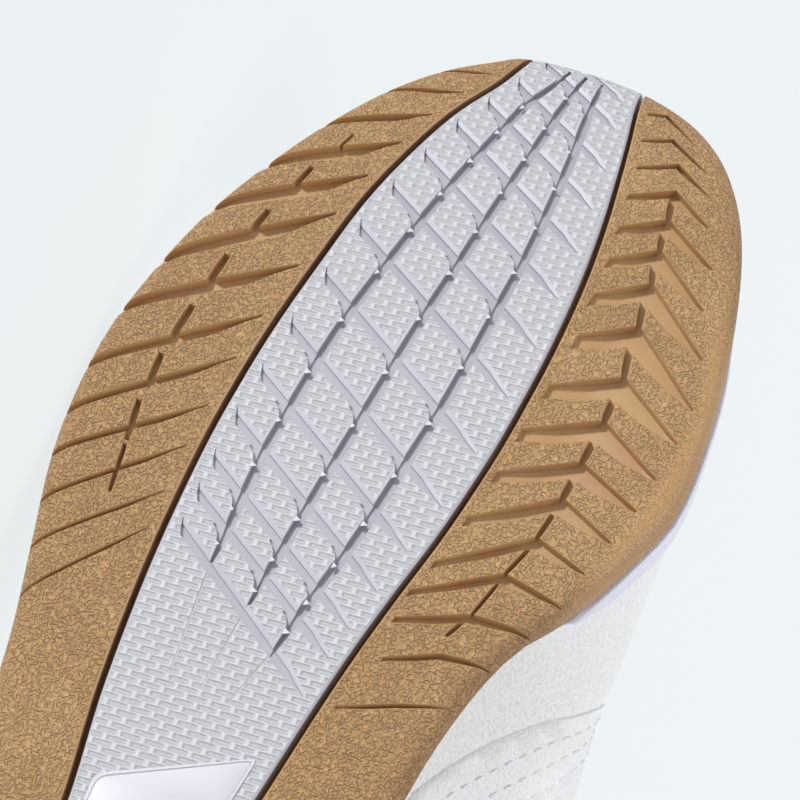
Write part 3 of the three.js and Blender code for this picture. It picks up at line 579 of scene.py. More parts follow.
# Grooves: a boat-shaped cutter is swept along a path in the plan of the flat tread
grooveForm = {"depth": 2.2, "above": 0.9, "tip": 0.06, "deepFrom": 0.45, "least": 0.12, "flare": 1.9}
grooveSides = {  # towards toe or medial side, then the other: rim's width and depth, and the wall's lean
    "slot": ((0.22, 0.25, 0.12), (0.22, 0.25, 0.12)),
    "lateral_groove": ((0.12, 0.15, 0.1), (0.25, 0.3, 0.5)),
    "medial_groove": ((0.12, 0.15, 0.1), (0.25, 0.3, 0.5)),
    "long_groove": ((0.12, 0.12, 0.1), (0.36, 0.22, 0.1)),
    "diagonal": ((0.95, 0.85, 0.1), (0.1, 0.12, 0.06)),
    "line": ((0.1, 0.1, 0.05), (0.1, 0.1, 0.05)),
}


def sweptCutter(name, path, widths, axis, depth=grooveForm["depth"], startDepth=1.0):
    rings = []
    for (x, y), width, share in zip(path, widths, np.linspace(0, 1, len(path))):
        w = max(width / 2, grooveForm["tip"])
        deep = depth * min(1.0, w / grooveForm["deepFrom"] + grooveForm["least"])
        deep *= startDepth + (1 - startDepth) * float(ease(0, 0.3, share))
        section = []
        for sign, (rim, rimDepth, lean) in zip((1, -1), grooveSides[name]):
            rim = min(rim, 4 * w)
            side = [(w + rim * grooveForm["flare"], -grooveForm["above"]), (w + rim, 0.0),
                    (w, min(rimDepth, 0.5 * deep)), (max(w - min(lean, 0.8 * w), 0.02), deep)]
            section += [(sign * out, z) for out, z in side[::sign]]
        lift = edgeLift(x, y)
        rings.append([(x + (axis == "x") * out, y + (axis == "y") * out, lift + z) for out, z in section])
    return shapeGrid(name, rings)


def volumeOf(mesh):
    solid = bmesh.new()
    solid.from_mesh(mesh)
    volume = solid.calc_volume(signed=True) if all(edge.is_manifold for edge in solid.edges) else -1
    solid.free()
    return volume


def cutEach(piece, tools, shifts, fits):
    # one cut at a time, and a cut that opens the mesh is made again a hair's breadth away
    for tool in tools:
        whole, cutAway = volumeOf(piece.data), volumeOf(tool.data)
        before = piece.data
        for shift in shifts:
            piece.data = before.copy()
            tool.data.transform(Matrix.Translation(shift))
            combine(piece, tool, keepTool=True)
            if fits(volumeOf(piece.data), whole, cutAway):
                break
        else:
            piece.data = before
            print("a cut was left out of", piece.name)
        bpy.data.objects.remove(tool)


def cutGrooves(piece, cutters, finishes, paints=(1,)):
    for cutter in cutters:
        dress(cutter, *finishes)
        for face in cutter.data.polygons:
            face.material_index = paints[face.index % len(paints)]
    cutEach(piece, cutters, [(n, n * 0.7, -abs(n)) for n in (0.0, 0.013, -0.017, 0.031, -0.043)],
            lambda left, whole, cutAway: whole - 1.05 * cutAway < left < whole)


chart = {"toe": 287.5, "side": 4.0}  # of the tread: u runs from the toe, v towards the medial side


def planSpot(u, v):
    return (chart["toe"] - u, v + chart["side"])


def channelY(side, u):
    return float(edgeY(side, stationOf(chart["toe"] - u)))


def spread(points, count):
    # points at even steps along a broken line
    points = np.asarray(points, float)
    gaps = np.concatenate([[0], np.cumsum(np.hypot(*np.diff(points, axis=0).T))])
    at = np.linspace(0, gaps[-1], count)
    return np.stack([np.interp(at, gaps, points[:, k]) for k in range(2)], 1)


outlineBand = bandHeight(outlineAt, onMedial)


def wallInset(height):
    radius = sole["edgeRadius"]
    share = np.clip((height - radius) / (outlineBand - radius), 0, 1)
    return 0.02 * radius + (sole["wallLean"] - 0.02 * radius) * share


def flatRing(points, height):
    points = np.asarray(points, float)
    return np.column_stack([points, np.full(len(points), float(height))])


channel = {"end": 0.935, "round": 0.06, "sideGap": 1.2, "toeGap": -0.3, "rim": 0.3}


def channelPrism(name, gap, toeGap, end, levels):
    # the channel that holds the strip, narrower by the gaps; levels: height, and how much wider it is there
    straight = end - channel["round"]
    at = np.concatenate([np.linspace(-0.03, 0.06, 12), np.linspace(0.075, straight, 60)])
    arc = np.sin(np.linspace(0.12, 1, 9) * np.pi / 2)
    narrow = np.sqrt(np.maximum(1 - arc ** 2, 0.01))
    x = xOf(np.concatenate([at, straight + channel["round"] * arc]))
    middle = (edgeY("channelLateral", straight) + edgeY("channelMedial", straight)) / 2
    rings = []
    for height, wider in levels:
        rows = []
        for side, shift in (("channelLateral", gap - wider + 0 * at),
                            ("channelMedial", wider - gap - toeGap * (1 - ease(0.02, 0.2, at)))):
            y = edgeY(side, np.maximum(at, 0)) + shift
            rows.append(np.column_stack([x, np.concatenate([y, middle + (y[-1] - middle) * narrow])]))
        rings.append(flatRing(np.concatenate([rows[0], rows[1][::-1]]), height))
    return shapeGrid(name, rings)


# Gum outsole
gum = {
    "thickness": 4.6, "lipWall": 2.2,
    "lipEdge": ((0.0, 0.55), (0.1, 0.16), (0.45, 0.0)),  # how far in and how far under the lip's top
    "lip": {"at": [0, 0.07, 0.12, 0.19, 0.3, 0.35, 0.4, 0.58, 0.68, 0.8, 1],
            "top": [1.2, 1.2, 0.6, 0.4, 0.38, 0.55, 1.15, 1.15, 0.62, 0.44, 0.42]},
}
lipTop = np.minimum(outlineBand * tableValue(gum["lip"], "top", outlineAt), outlineBand - sole["clearance"])

# slanted grooves of the lateral side: u where they start by the strip and where they run out, width
lateralGrooves = [
    (8.0, 12.5, 0.8), (15.3, 22.3, 1.2), (23.3, 35.7, 2.2), (32.3, 48.7, 4.2), (42.3, 62.0, 4.8), (52.7, 76.0, 4.6),
    (66.0, 88.0, 3.8), (78.0, 101.0, 3.0), (87.7, 111.0, 2.4), (98.3, 119.5, 2.0), (107.0, 128.5, 1.5),
    (116.5, 137.0, 1.2), (124.0, 146.0, 1.1),
]
lateralSlots = [  # v, u at both ends, width
    (-38.7, 35.3, -39.7, 40.0, 0.7), (-41.7, 45.7, -42.7, 52.3, 1.3), (-44.0, 58.0, -44.8, 64.7, 1.5),
    (-46.0, 70.0, -46.3, 77.0, 1.6), (-46.6, 82.0, -46.8, 89.7, 1.6), (-46.8, 93.0, -45.8, 100.3, 1.5),
    (-45.8, 103.0, -43.9, 111.0, 1.4), (-43.7, 111.7, -41.6, 121.0, 1.0),
]
# chevrons of the medial side: inner end, apex, outer end as v and u, and width
medialGrooves = [
    (6.9, 2.1, 10.3, 0.5, 17.3, 4.7, 0.8), (9.0, 9.2, 14.1, 6.0, 23.3, 11.0, 1.0),
    (11.3, 16.0, 17.7, 11.5, 26.3, 16.3, 1.3), (12.8, 23.3, 20.2, 17.9, 29.3, 23.3, 2.2),
    (14.7, 31.2, 22.0, 25.0, 34.0, 32.0, 3.2), (16.3, 38.8, 23.7, 32.3, 36.3, 41.2, 3.8),
    (17.3, 47.3, 25.7, 40.0, 40.7, 51.0, 4.5), (18.7, 56.7, 27.7, 49.7, 43.7, 61.3, 5.0),
    (18.7, 68.3, 30.0, 60.7, 44.0, 68.7, 4.8), (18.3, 78.3, 30.7, 70.3, 43.7, 76.7, 4.3),
    (18.0, 87.7, 30.7, 79.3, 43.3, 83.7, 3.6), (17.3, 97.7, 30.7, 87.0, 42.0, 91.0, 3.2),
    (16.0, 107.7, 30.0, 95.7, 40.3, 98.2, 2.4), (14.7, 114.3, 28.0, 104.3, 39.3, 105.3, 2.0),
    (14.7, 120.0, 26.3, 113.7, 37.7, 112.0, 1.7), (16.3, 127.4, 25.0, 122.4, 34.4, 120.5, 1.2),
    (13.1, 138.6, 22.5, 133.6, 31.3, 129.9, 0.8),
]


def edgeRings(deeper=0.0):
    # the sole's rounded lower edge, or what lies deeper than its skin
    radius = sole["edgeRadius"]
    return [outlineRing(inset * radius + deeper, rise * radius + deeper) for inset, rise in zip(edgeInset, edgeRise)]


def gumBase():
    wall = gum["lipWall"]
    lip = [outlineRing(wallInset(lipTop - under) + inward, lipTop - under) for inward, under in gum["lipEdge"]]
    levels = ((wall - 0.25, lipTop), (wall, lipTop - 0.3), (wall, gum["thickness"]))
    inside = [outlineRing(*level) for level in levels]
    return shapeGrid("gum_outsole", edgeRings() + lip + inside)


slanted = {"fromChannel": 1.9, "pastEdge": 1.2, "bow": 0.06, "start": 0.12, "narrowing": 0.35}
chevron = {"inner": 0.62, "outer": 0.1, "startDepth": 0.55}


def lateralCutter(start, end, width):
    x1, y1 = planSpot(start, 0)[0], channelY("channelLateral", start) - slanted["fromChannel"]
    x3 = planSpot(end, 0)[0]
    y3 = edgeY("lateral", stationOf(x3)) - slanted["pastEdge"]
    x2, y2 = (x1 + x3) / 2 + slanted["bow"] * (x1 - x3), (y1 + y3) / 2
    line, widths = [], []
    for t in np.linspace(0, 1, 12):
        w = slanted["start"] + (1 - slanted["start"]) * float(ease(0, 0.3, t))
        w *= width * (1 - slanted["narrowing"] * t)
        widths.append(w)
        line.append(((1 - t) ** 2 * x1 + 2 * t * (1 - t) * x2 + t * t * x3 - w / 2,
                     (1 - t) ** 2 * y1 + 2 * t * (1 - t) * y2 + t * t * y3))
    return sweptCutter("lateral_groove", line, widths, "x")


def medialCutter(v1, u1, v2, u2, v3, u3, width):
    inner = spread([planSpot(u1, v1), planSpot(u2, v2)], 7)
    outer = spread([planSpot(u2, v2), planSpot(u3, v3)], 8)[1:]
    line = np.concatenate([inner, outer])
    t = np.linspace(-1, 1, len(line))
    swell = chevron["inner"] + (1 - chevron["inner"]) * ease(-1, -0.4, t)
    fade = 1 - (1 - chevron["outer"]) * np.clip(t, 0, 1) ** 1.5
    widths = width * np.where(t < 0, swell, fade)
    line[:, 0] -= widths / 2
    return sweptCutter("medial_groove", line, widths, "x", startDepth=chevron["startDepth"])


def slotCutter(v1, u1, v2, u2, width):
    line = spread([planSpot(u1, v1), planSpot(u2, v2)], 5)
    return sweptCutter("slot", line, [width * share for share in (0.75, 1, 1, 1, 0.7)], "y")


def medialSlotCutters():
    cutters = []
    for before, after in zip(medialGrooves[3:14], medialGrooves[4:15]):
        start, end = before[3] + before[6] * 0.7, after[3] + 0.6
        if end - start > 1.5:
            cutters.append(slotCutter(before[2], start, after[2], end, min(1.5, 0.45 * after[6])))
    return cutters + [slotCutter(26.0, 114.6, 24.2, 119.3, 0.9)]


def makeGum():
    finishes = (gumTop, gumFloor, gumRecessShade)
    piece = gumBase()
    dress(piece, *finishes)
    recess = channelPrism("recess", 0, 0, channel["end"],
                          [(-1.0, 0.55), (0.0, channel["rim"]), (0.35, 0.0), (70.0, 0.0)])
    core = shapeGrid("core", edgeRings(3.3) + [outlineRing(sole["wallLean"] + 3.3, 60.0)])
    combine(recess, core)
    dress(recess, *finishes)
    # the channel's deeper walls take the dark painted shade, its rim the smooth floor finish
    for face in recess.data.polygons:
        face.material_index = 2 if face.center.z > 0.5 else 1
    combine(piece, recess)
    for cutter, rows in ((lateralCutter, lateralGrooves), (medialCutter, medialGrooves), (slotCutter, lateralSlots)):
        cutGrooves(piece, [cutter(*row) for row in rows], finishes)
    cutGrooves(piece, medialSlotCutters(), finishes)
    sliceAlong(piece, 5.0)
    polish(piece)
    bendOnTread(piece)
    settle(piece, "gum_rubber", "outsole_gum", angle=30)


def polish(piece):
    # the medial gum is smooth and rubbed bright outside the chevrons
    share = piece.data.attributes.new("polished", "FLOAT", "POINT")
    co = coordsOf(piece)
    at = stationOf(co[:, 0])
    ends = np.array([planSpot(row[5], row[4]) for row in medialGrooves])
    outside = ease(-1.0, 2.5, co[:, 1] - np.interp(-co[:, 0], -ends[:, 0], ends[:, 1]))
    outside *= ease(0.12, 0.2, at) * (1 - ease(0.36, 0.43, at)) * (co[:, 1] > 0) * 0.8
    share.data.foreach_set("value", outside.astype(np.float32))


makeGum()
print("gum outsole made")

# Inlaid strip with its lattice of grooves
strip = {"thickness": 3.0, "longWidth": 1.95, "diagonalSlope": 0.487, "lastSteeper": 0.043,
         "diagonalWidth": 1.7, "depth": 1.3, "diagonalDepth": 0.8, "lineWidth": 0.35, "lineDepth": 0.45}
longGrooves = [  # u and v along each
    ([-0.5, 1.0, 6.3, 11.5, 18.7, 27.3, 36.7, 47.3, 58.3, 70.3, 81.3, 101.7, 110.7, 119.0, 124.9],
     [-10.9, -11.2, -12.3, -13.9, -14.7, -15.8, -16.9, -18.0, -19.0, -20.2, -20.7, -20.7, -19.9, -19.0, -18.75]),
    ([-0.8, 4.0, 14.0, 22.0, 52.0, 63.0, 75.7, 98.0, 116.0, 129.0],
     [-7.6, -7.9, -7.5, -7.3, -7.3, -7.7, -8.0, -8.5, -8.7, -9.0]),
    ([-1.0, 0.0, 6.7, 13.0, 20.0, 27.3, 36.7, 46.7, 55.3, 67.7, 80.0, 92.3, 103.0, 112.3, 120.0, 135.5],
     [-4.3, -4.0, -3.0, -1.7, -0.3, 0.8, 2.0, 3.0, 3.3, 3.7, 3.7, 3.0, 2.5, 1.7, 0.7, -1.2]),
]
diagonal = {"fromLateral": 2.2, "toMedial": 2.4, "hookBack": 0.9}
corners = {"reach": 2.2, "flash": 1.1}
fineLines = [(124.5, -18.75, 144.9, -15.6), (128.5, -9.0, 145.5, -9.25), (135.0, -1.2, 146.0, -3.75)]
diagonalsAt = [-2.2, 4.0, 13.3, 22.3, 31.7, 42.0, 52.5, 63.7, 76.0, 88.0, 98.7, 108.3, 117.0, 123.5, 131.0]


def stripBase():
    thick, top = strip["thickness"], outlineBand - sole["clearance"]
    walls = [outlineRing(wallInset(top), top), outlineRing(wallInset(top) + thick, top)]
    return shapeGrid("tread_strip", edgeRings() + walls + edgeRings(thick)[::-1])


def longCutter(along, across):
    line = spread([planSpot(u, v) for u, v in zip(along, across)], 44)
    i = np.arange(44)
    widths = strip["longWidth"] * (1 - 0.9 * np.maximum(0, (i - 40) / 4)) * np.minimum(1, 0.35 + 0.16 * i)
    return sweptCutter("long_groove", line, widths, "y", strip["depth"])


def lineCutter(u1, v1, u2, v2):
    line = spread([planSpot(u1, v1), planSpot(u2, v2)], 8)
    return sweptCutter("line", line, strip["lineWidth"] * (1 - 0.7 * np.linspace(0, 1, 8)), "y", strip["lineDepth"])


def middleV(u):
    return float(np.interp(u, *longGrooves[1]))


def diagonalCutter(u0):
    vMid = middleV(u0)
    slope = strip["diagonalSlope"] + (strip["lastSteeper"] if u0 == diagonalsAt[-1] else 0)
    left, right = -60.0, 40.0
    for _ in range(5):
        uLeft, uRight = u0 + (left - vMid) * slope, u0 + (right - vMid) * slope
        left = channelY("channelLateral", max(uLeft, -4.0)) - chart["side"] + channel["sideGap"]
        right = channelY("channelMedial", max(uRight, -4.0)) - chart["side"] - channel["sideGap"]
        left, right = left + diagonal["fromLateral"], right - diagonal["toMedial"]
    points = [(u0 + (v - vMid) * slope, v) for v in np.linspace(left + diagonal["hookBack"], right, 16)]
    hook = [(points[0][0] - 2.3, left - 0.35), (points[0][0] - 1.0, left + 0.1)]
    widths = [0.25, 0.75] + [strip["diagonalWidth"]] * 14 + [0.7, 0.3]
    return sweptCutter("diagonal", [planSpot(u, v) for u, v in hook + points], widths, "x", strip["diagonalDepth"])


def crossingSpots():
    # where diagonals cross the long grooves, on each groove's lateral side
    spots = []
    for along, across in longGrooves:
        for u0 in diagonalsAt[1:]:
            u = u0
            for _ in range(6):
                v = float(np.interp(u, along, across))
                u = u0 + (v - middleV(u0)) * strip["diagonalSlope"]
            if along[0] + 3 < u < along[-1] - 1:
                spots.append((u, v))
    return spots


def cornerCutter(u, v):
    # rounds the corner of the lug on the heel and lateral side of a crossing
    x, y = planSpot(u, v)
    corner = np.array([x - strip["diagonalWidth"] / 2, y - strip["longWidth"] / 2])
    alongGroove, alongDiagonal = np.array([-1.0, 0.06]), np.array([0.44, -0.9])
    start, end = corner + alongGroove * corners["reach"], corner + alongDiagonal * corners["reach"]
    curve = [start * (1 - t) ** 2 + corner * 2 * t * (1 - t) + end * t * t for t in np.linspace(0, 1, 8)]
    base = np.array(curve + [end + (0.4, 0.25), corner + (0.6, 0.6), start + (0.1, 0.4)])
    lift = edgeLift(x, y)
    levels = (-grooveForm["above"], 0.0, strip["diagonalDepth"])
    return shapeGrid("corner", [flatRing(base, lift + z) for z in levels])


def makeFlash():
    # thin teeth of moulding flash on the lateral rim of the long grooves, by the crossings
    teeth = []
    for k, (u, v) in enumerate(crossingSpots()):
        x, y = planSpot(u, v)
        x -= strip["diagonalWidth"] / 2 + corners["reach"]
        y -= strip["longWidth"] / 2 - 0.1
        lift = edgeLift(x, y)
        size = corners["flash"] * (0.75 + 0.5 * ((k * 7) % 5) / 4)
        base = np.array([(0.75, -0.15), (-0.45, -0.2), (-0.1, 0.35 * size), (0.3, 0.8 * size), (0.5, 0.3 * size)])
        rings = [flatRing(base + (x, y), lift + z) for z in (0.02, 0.16, 0.5)]
        rings[2][2:, 1] = rings[2][2:, 1] * 0.5 + (y - 0.1) * 0.5
        teeth.append(shapeGrid("tooth", rings))
    piece = joinAll(teeth, "strip_flash")
    dress(piece, stripFieldAndRimHighlight)
    bendOnTread(piece)
    settle(piece, "white_rubber", angle=20)


def makeStrip():
    piece = stripBase()
    finishes = (stripWeave, stripSmooth, stripFloorShade, stripFieldAndRimHighlight)
    dress(piece, *finishes)
    gap = channel["sideGap"]
    prism = channelPrism("channel", gap, channel["toeGap"], channel["end"] - gap / sole["length"],
                         [(-2.0, -0.45), (0.0, -0.4), (0.4, 0.0), (80.0, 0.0)])
    dress(prism, *finishes)
    for face in prism.data.polygons:
        face.material_index = 1
    combine(piece, prism, "INTERSECT")
    # the grooves' floors and walls take the darker painted shade; the lateral rim of each long groove and the
    # heel-side rim of each diagonal take a lighter painted highlight
    cutGrooves(piece, [longCutter(*row) for row in longGrooves], finishes, (2, 2, 2, 2, 2, 3, 2, 2))
    cutGrooves(piece, [diagonalCutter(u) for u in diagonalsAt], finishes, (2, 1, 2, 2, 2, 3, 2, 2))
    cutGrooves(piece, [cornerCutter(*spot) for spot in crossingSpots()], finishes, (2,))
    cutGrooves(piece, [lineCutter(*row) for row in fineLines], finishes)
    sliceAlong(piece, 5.0)
    bendOnTread(piece)
    settle(piece, "white_rubber", "outsole_strip", angle=25)


# Plain field on the strip's waist, with a narrow raised border
field = {"toeMedial": (152.5, 5.7), "toeLateral": (167.0, -18.0), "length": 44.0, "sink": 0.6, "proud": 0.14,
         "border": 0.7, "borderProud": 0.34, "corner": 0.25}


def fieldRing(inset, height):
    (u1, v1), (u2, v2), long = field["toeMedial"], field["toeLateral"], field["length"]
    ends = np.array([(u1, v1), (u1 + long, v1 - 2.5), (u2 + long * 0.72, v2 + 4.0), (u2, v2)])
    points = []
    for k, end in enumerate(ends):
        first, second = unit(ends[k - 1] - end), unit(ends[(k + 1) % 4] - end)
        inward = (first + second) / max(np.linalg.norm(first + second), 0.2)
        for share in (-1.0, -0.5, 0.0, 0.5, 1.0):
            lean = (first if share < 0 else second) * abs(share) * 2.0
            points.append(end + inward * (inset * 1.35 + 0.5 * (1 - abs(share)) ** 2) + lean)
    return flatRing([planSpot(u, v) for u, v in points], height)


def makeField():
    proud, rimTop, border, sink = -field["proud"], -field["borderProud"], field["border"], field["sink"]
    plate = [(border + field["corner"], proud), (border, proud * 0.5), (border, sink)]
    rim = [(0.0, sink), (0.0, -0.1), (0.15, rimTop), (border - 0.15, rimTop), (border, -0.1), (border, sink)]
    for name, levels in (("plain_field", plate), ("field_border", rim)):
        piece = shapeGrid(name, [fieldRing(*level) for level in levels], endless=levels is rim)
        dress(piece, stripFieldAndRimHighlight)
        sliceAlong(piece, 6.0, 70.0, 140.0)
        bendOnTread(piece)
        settle(piece, "white_rubber")


makeStrip()
makeFlash()
makeField()
print("tread strip made")

# Midsole, seen as a white band between the gum's lip and the upper
midsole = {"inset": 0.3, "bulge": 1.0, "rim": 0.25, "least": 0.4, "foot": 4.0}


def makeMidsole():
    gap = sole["clearance"]
    inChannel = (outlineAt < 0.06) & (outlineY > edgeY("channelLateral", outlineAt) - 2)
    inChannel &= outlineY < edgeY("channelMedial", outlineAt) + 2
    top = outlineBand - 0.02
    sill = np.minimum(lipTop + gap, top - 0.05)
    visible = top - sill
    shut = (visible < midsole["least"]) | inChannel
    hidden = np.where(inChannel, strip["thickness"] + 1.0, gum["lipWall"] + gap)
    bulge = ease(0.13, 0.2, outlineAt) * (1 - ease(0.4, 0.46, outlineAt)) * (outlineY > 10) * (~shut)
    outer, outerTop = (np.where(shut, hidden, wallInset(height) + midsole["inset"]) - midsole["bulge"] * bulge
                       for height in (sill, top))
    low = gum["thickness"] + gap
    levels = [(hidden + midsole["foot"], low), (hidden, low), (hidden, sill), (outer + midsole["rim"], sill),
              (outer, sill + np.minimum(midsole["rim"], visible * 0.3))]
    levels += [(outer * (1 - share) + outerTop * share, sill + visible * share) for share in (0.35, 0.65)]
    levels += [(outerTop, top - np.minimum(0.5, visible * 0.3)), (outerTop + 0.16, top - 0.1), (outerTop + 0.5, top)]
    piece = shapeGrid("midsole_band", [outlineRing(*level) for level in levels], ladder=True)
    bendOnTread(piece)
    dress(piece, midsoleWhite)
    settle(piece, "white_foam", "midsole")


makeMidsole()
print("midsole made")

# Body of the shoe over its last
last = {
    "height": 100.0,
    "toeCentre": 0.125, "heelCentre": 0.885, "archedUntil": 0.5, "uprightFrom": 0.68,
    "wall": 2.0, "padding": 3.2, "overlay": 0.25, "footDrop": 1.5,
}
bodyRows = {
    "at": [0, 0.11, 0.2, 0.3, 0.38, 0.46, 0.54, 0.6, 0.66, 0.72, 0.85, 1],
    "ridge": [0.31, 0.31, 0.36, 0.45, 0.55, 0.66, 0.78, 0.89, 0.97, 1, 1, 1],
    "swellMedial": [1, 1, 1, 1.01, 1.25, 1.56, 1.55, 1.3, 1.16, 1.07, 1.02, 1.02],
    "swellLateral": [1, 1, 1, 0.98, 0.97, 0.98, 1, 1.02, 1.03, 1.03, 1.02, 1.02],
}
sectionRows = {
    "rise": [0, 0.14, 0.34, 0.56, 0.75, 0.9, 0.98, 1],
    "arched": [0.96, 1, 1, 0.95, 0.83, 0.61, 0.32, 0.1],
    "upright": [0.95, 1.02, 0.99, 0.91, 0.86, 0.82, 0.76, 0.62],
}
collarRows = {
    "at": [0.56, 0.6, 0.64, 0.69, 0.76, 0.84, 0.91, 0.96, 1.01],
    "height": [1.3, 0.86, 0.68, 0.55, 0.5, 0.51, 0.58, 0.66, 0.68],
}
creases = [  # station and half length of each soft trough over the toe joint, and its depth
    (0.262, 0.007, 0.35), (0.292, 0.009, 0.5), (0.325, 0.008, 0.4),
]


def smoothColumn(values, steps):
    # a curve through the rows of a section
    values = np.asarray(values, float)
    padded = np.concatenate([[2 * values[0] - values[1]], values, [2 * values[-1] - values[-2]]])
    out = []
    for k in range(len(values) - 1):
        p0, p1, p2, p3 = padded[k:k + 4]
        for t in np.arange(steps) / steps:
            out.append(0.5 * (2 * p1 + (p2 - p0) * t + (2 * p0 - 5 * p1 + 4 * p2 - p3) * t * t
                              + (3 * p1 - p0 - 3 * p2 + p3) * t ** 3))
    out.append(values[-1])
    return np.array(out)


def bodyGrid():
    base = outlineRing(sole["featherInset"], 0.0)
    cx = np.clip(base[:, 0], xOf(last["heelCentre"]), xOf(last["toeCentre"]))
    at = stationOf(cx)
    cy = midY(at)
    swell = np.where(onMedial, tableValue(bodyRows, "swellMedial", at), tableValue(bodyRows, "swellLateral", at))
    floor = featherHeight(base[:, 0], onMedial)
    top = featherHeight(cx) + last["height"] * tableValue(bodyRows, "ridge", at)
    rings = []
    for r, arched, upright in zip(*(smoothColumn(column, 5) for column in sectionRows.values())):
        r = min(max(r, 0), 1)
        share = arched + (upright - arched) * ease(last["archedUntil"], last["uprightFrom"], at)
        share = share * (1 + (swell - 1) * ease(0, 0.3, r))
        x, y = cx + (base[:, 0] - cx) * share, cy + (base[:, 1] - cy) * share
        z = floor + (top - floor) * r
        for station, reach, depth in creases:
            z = z - depth * np.exp(-((stationOf(x) - station) / reach) ** 2) * float(ease(0.35, 0.8, r))
        rings.append(np.stack([x, y, z], 1))
    return np.array(rings)


body = bodyGrid()
upward = np.concatenate([body[1:2] - body[0:1], body[2:] - body[:-2], body[-1:] - body[-2:-1]])
bodyNormals = unit(np.cross(np.roll(body, -1, 1) - np.roll(body, 1, 1), upward))


def collarHeight(x):
    at = np.clip(stationOf(x), collarRows["at"][0], 1.0)
    return featherHeight(x) + last["height"] * tableValue(collarRows, "height", at)


def collarMargin(points):
    rear = ease(0.58, 0.66, stationOf(points[..., 0]))
    x = np.clip(points[..., 0], 0, sole["length"])
    high = ease(-32, -12, points[..., 2] - collarHeight(x))
    return -(last["wall"] + last["padding"] * rear * high)


def bodyForm(name, margin, drop):
    moved = body + bodyNormals * (margin[..., None] if np.ndim(margin) else margin)
    moved[0, :, 2] = body[0, :, 2] - drop
    count = body.shape[1]
    # the last ring closes on the ridge line
    ridge = (moved[-1:] + moved[-1:, (count - np.arange(count)) % count]) / 2
    return shapeGrid(name, np.concatenate([moved, ridge]))


def sidePrism(line, low=-200.0, high=200.0):
    # all that lies within a line of stations and heights, seen from the side
    x = xOf(line[:, 0])
    z = featherHeight(np.clip(x, 0, sole["length"])) + line[:, 1] * last["height"]
    return shapeGrid("side_region", [np.stack([x, 0 * x + y, z], 1) for y in (low, high)])


def smoothLine(points, steps=8):
    # a curve through given points
    points = np.asarray(points, float)
    return np.stack([smoothColumn(points[:, k], steps) for k in range(2)], 1)


def collarPrism():
    front, past, over = collarRows["at"][0], 1.06, 3
    at = np.linspace(front, collarRows["at"][-1], 60)
    heights = tableValue(collarRows, "height", np.minimum(at, 1.0))
    heights[0] = collarRows["height"][0]
    corners = [(past, heights[-1]), (past, over), (front, over)]
    return sidePrism(np.concatenate([np.column_stack([at, heights]), corners]))


throat = {"front": 0.385, "top": 0.6, "halfWidth": 11.0, "eyestay": 15.0, "floor": 30.0}


def throatHalf(at):
    return throat["halfWidth"] * (0.72 + 0.28 * ease(throat["front"], throat["top"], at))


def throatPoints(margin, back):
    at = np.linspace(throat["front"], back, 14)
    x, reach = xOf(at), throatHalf(at) + margin
    angle = np.linspace(0, np.pi, 17)[1:-1]
    lateral = np.stack([x, midY(at) - reach], 1)[::-1]
    front = np.stack([x[0] + reach[0] * np.sin(angle), midY(at)[0] - reach[0] * np.cos(angle)], 1)
    return np.concatenate([lateral, front, np.stack([x, midY(at) + reach], 1)])


def throatPrism(margin, back):
    points = throatPoints(margin, back)
    return shapeGrid("throat_region", [flatRing(points, z) for z in (throat["floor"], 200)])


def soleBed():
    ring = outlineRing(-5, 0.0)
    ring[:, 2] = featherHeight(ring[:, 0], onMedial)
    return shapeGrid("sole_bed", [outlineRing(-5, -20.0), ring], ladder=True)


def treeOf(form):
    tree = BVHTree.FromObject(form, bpy.context.evaluated_depsgraph_get())
    bpy.data.objects.remove(form)
    return tree


def onTop(tree, x, y):
    return tree.ray_cast(Vector((x, y, 200)), Vector((0, 0, -1)))[:2]


bodyTree = treeOf(bodyForm("surface", last["overlay"] + sole["clearance"], 0))
eyelets = {"count": 6, "first": 0.395, "last": 0.57, "radius": 2.1, "reach": 14.0}


def eyeletSpot(side, i):
    at = eyelets["first"] + (eyelets["last"] - eyelets["first"]) * i / (eyelets["count"] - 1)
    return onTop(bodyTree, xOf(at), midY(at) + side * (throatHalf(at) + throat["eyestay"] * 0.45))


def eyeletPins():
    pins = []
    for side in (-1, 1):
        for i in range(eyelets["count"]):
            spot, normal = eyeletSpot(side, i)
            clearPick()
            bpy.ops.mesh.primitive_cylinder_add(vertices=20, radius=eyelets["radius"], depth=eyelets["reach"])
            pin = bpy.context.object
            pin.data.transform(Matrix.Translation(spot) @ normal.to_track_quat("Z", "Y").to_matrix().to_4x4())
            pins.append(pin)
    return pins


def openShell(piece, tools):
    cutEach(piece, tools, [(n, n, n) for n in (0.0, 0.021, -0.033)],
            lambda left, whole, cutAway: 0 < left < whole + 1)


def makeUpper():
    piece = bodyForm("upper_shell", 0.0, last["footDrop"])
    inner = bodyForm("inner", collarMargin(body), 8)
    for form in (piece, inner):
        dress(form, upperLeather, liningCloth)
    for face in inner.data.polygons:
        face.material_index = 1
    openShell(piece, [inner, soleBed(), collarPrism(), throatPrism(0, 0.72)] + eyeletPins())
    settle(piece, "white_leather", "upper", angle=50)


makeUpper()
print("upper made")

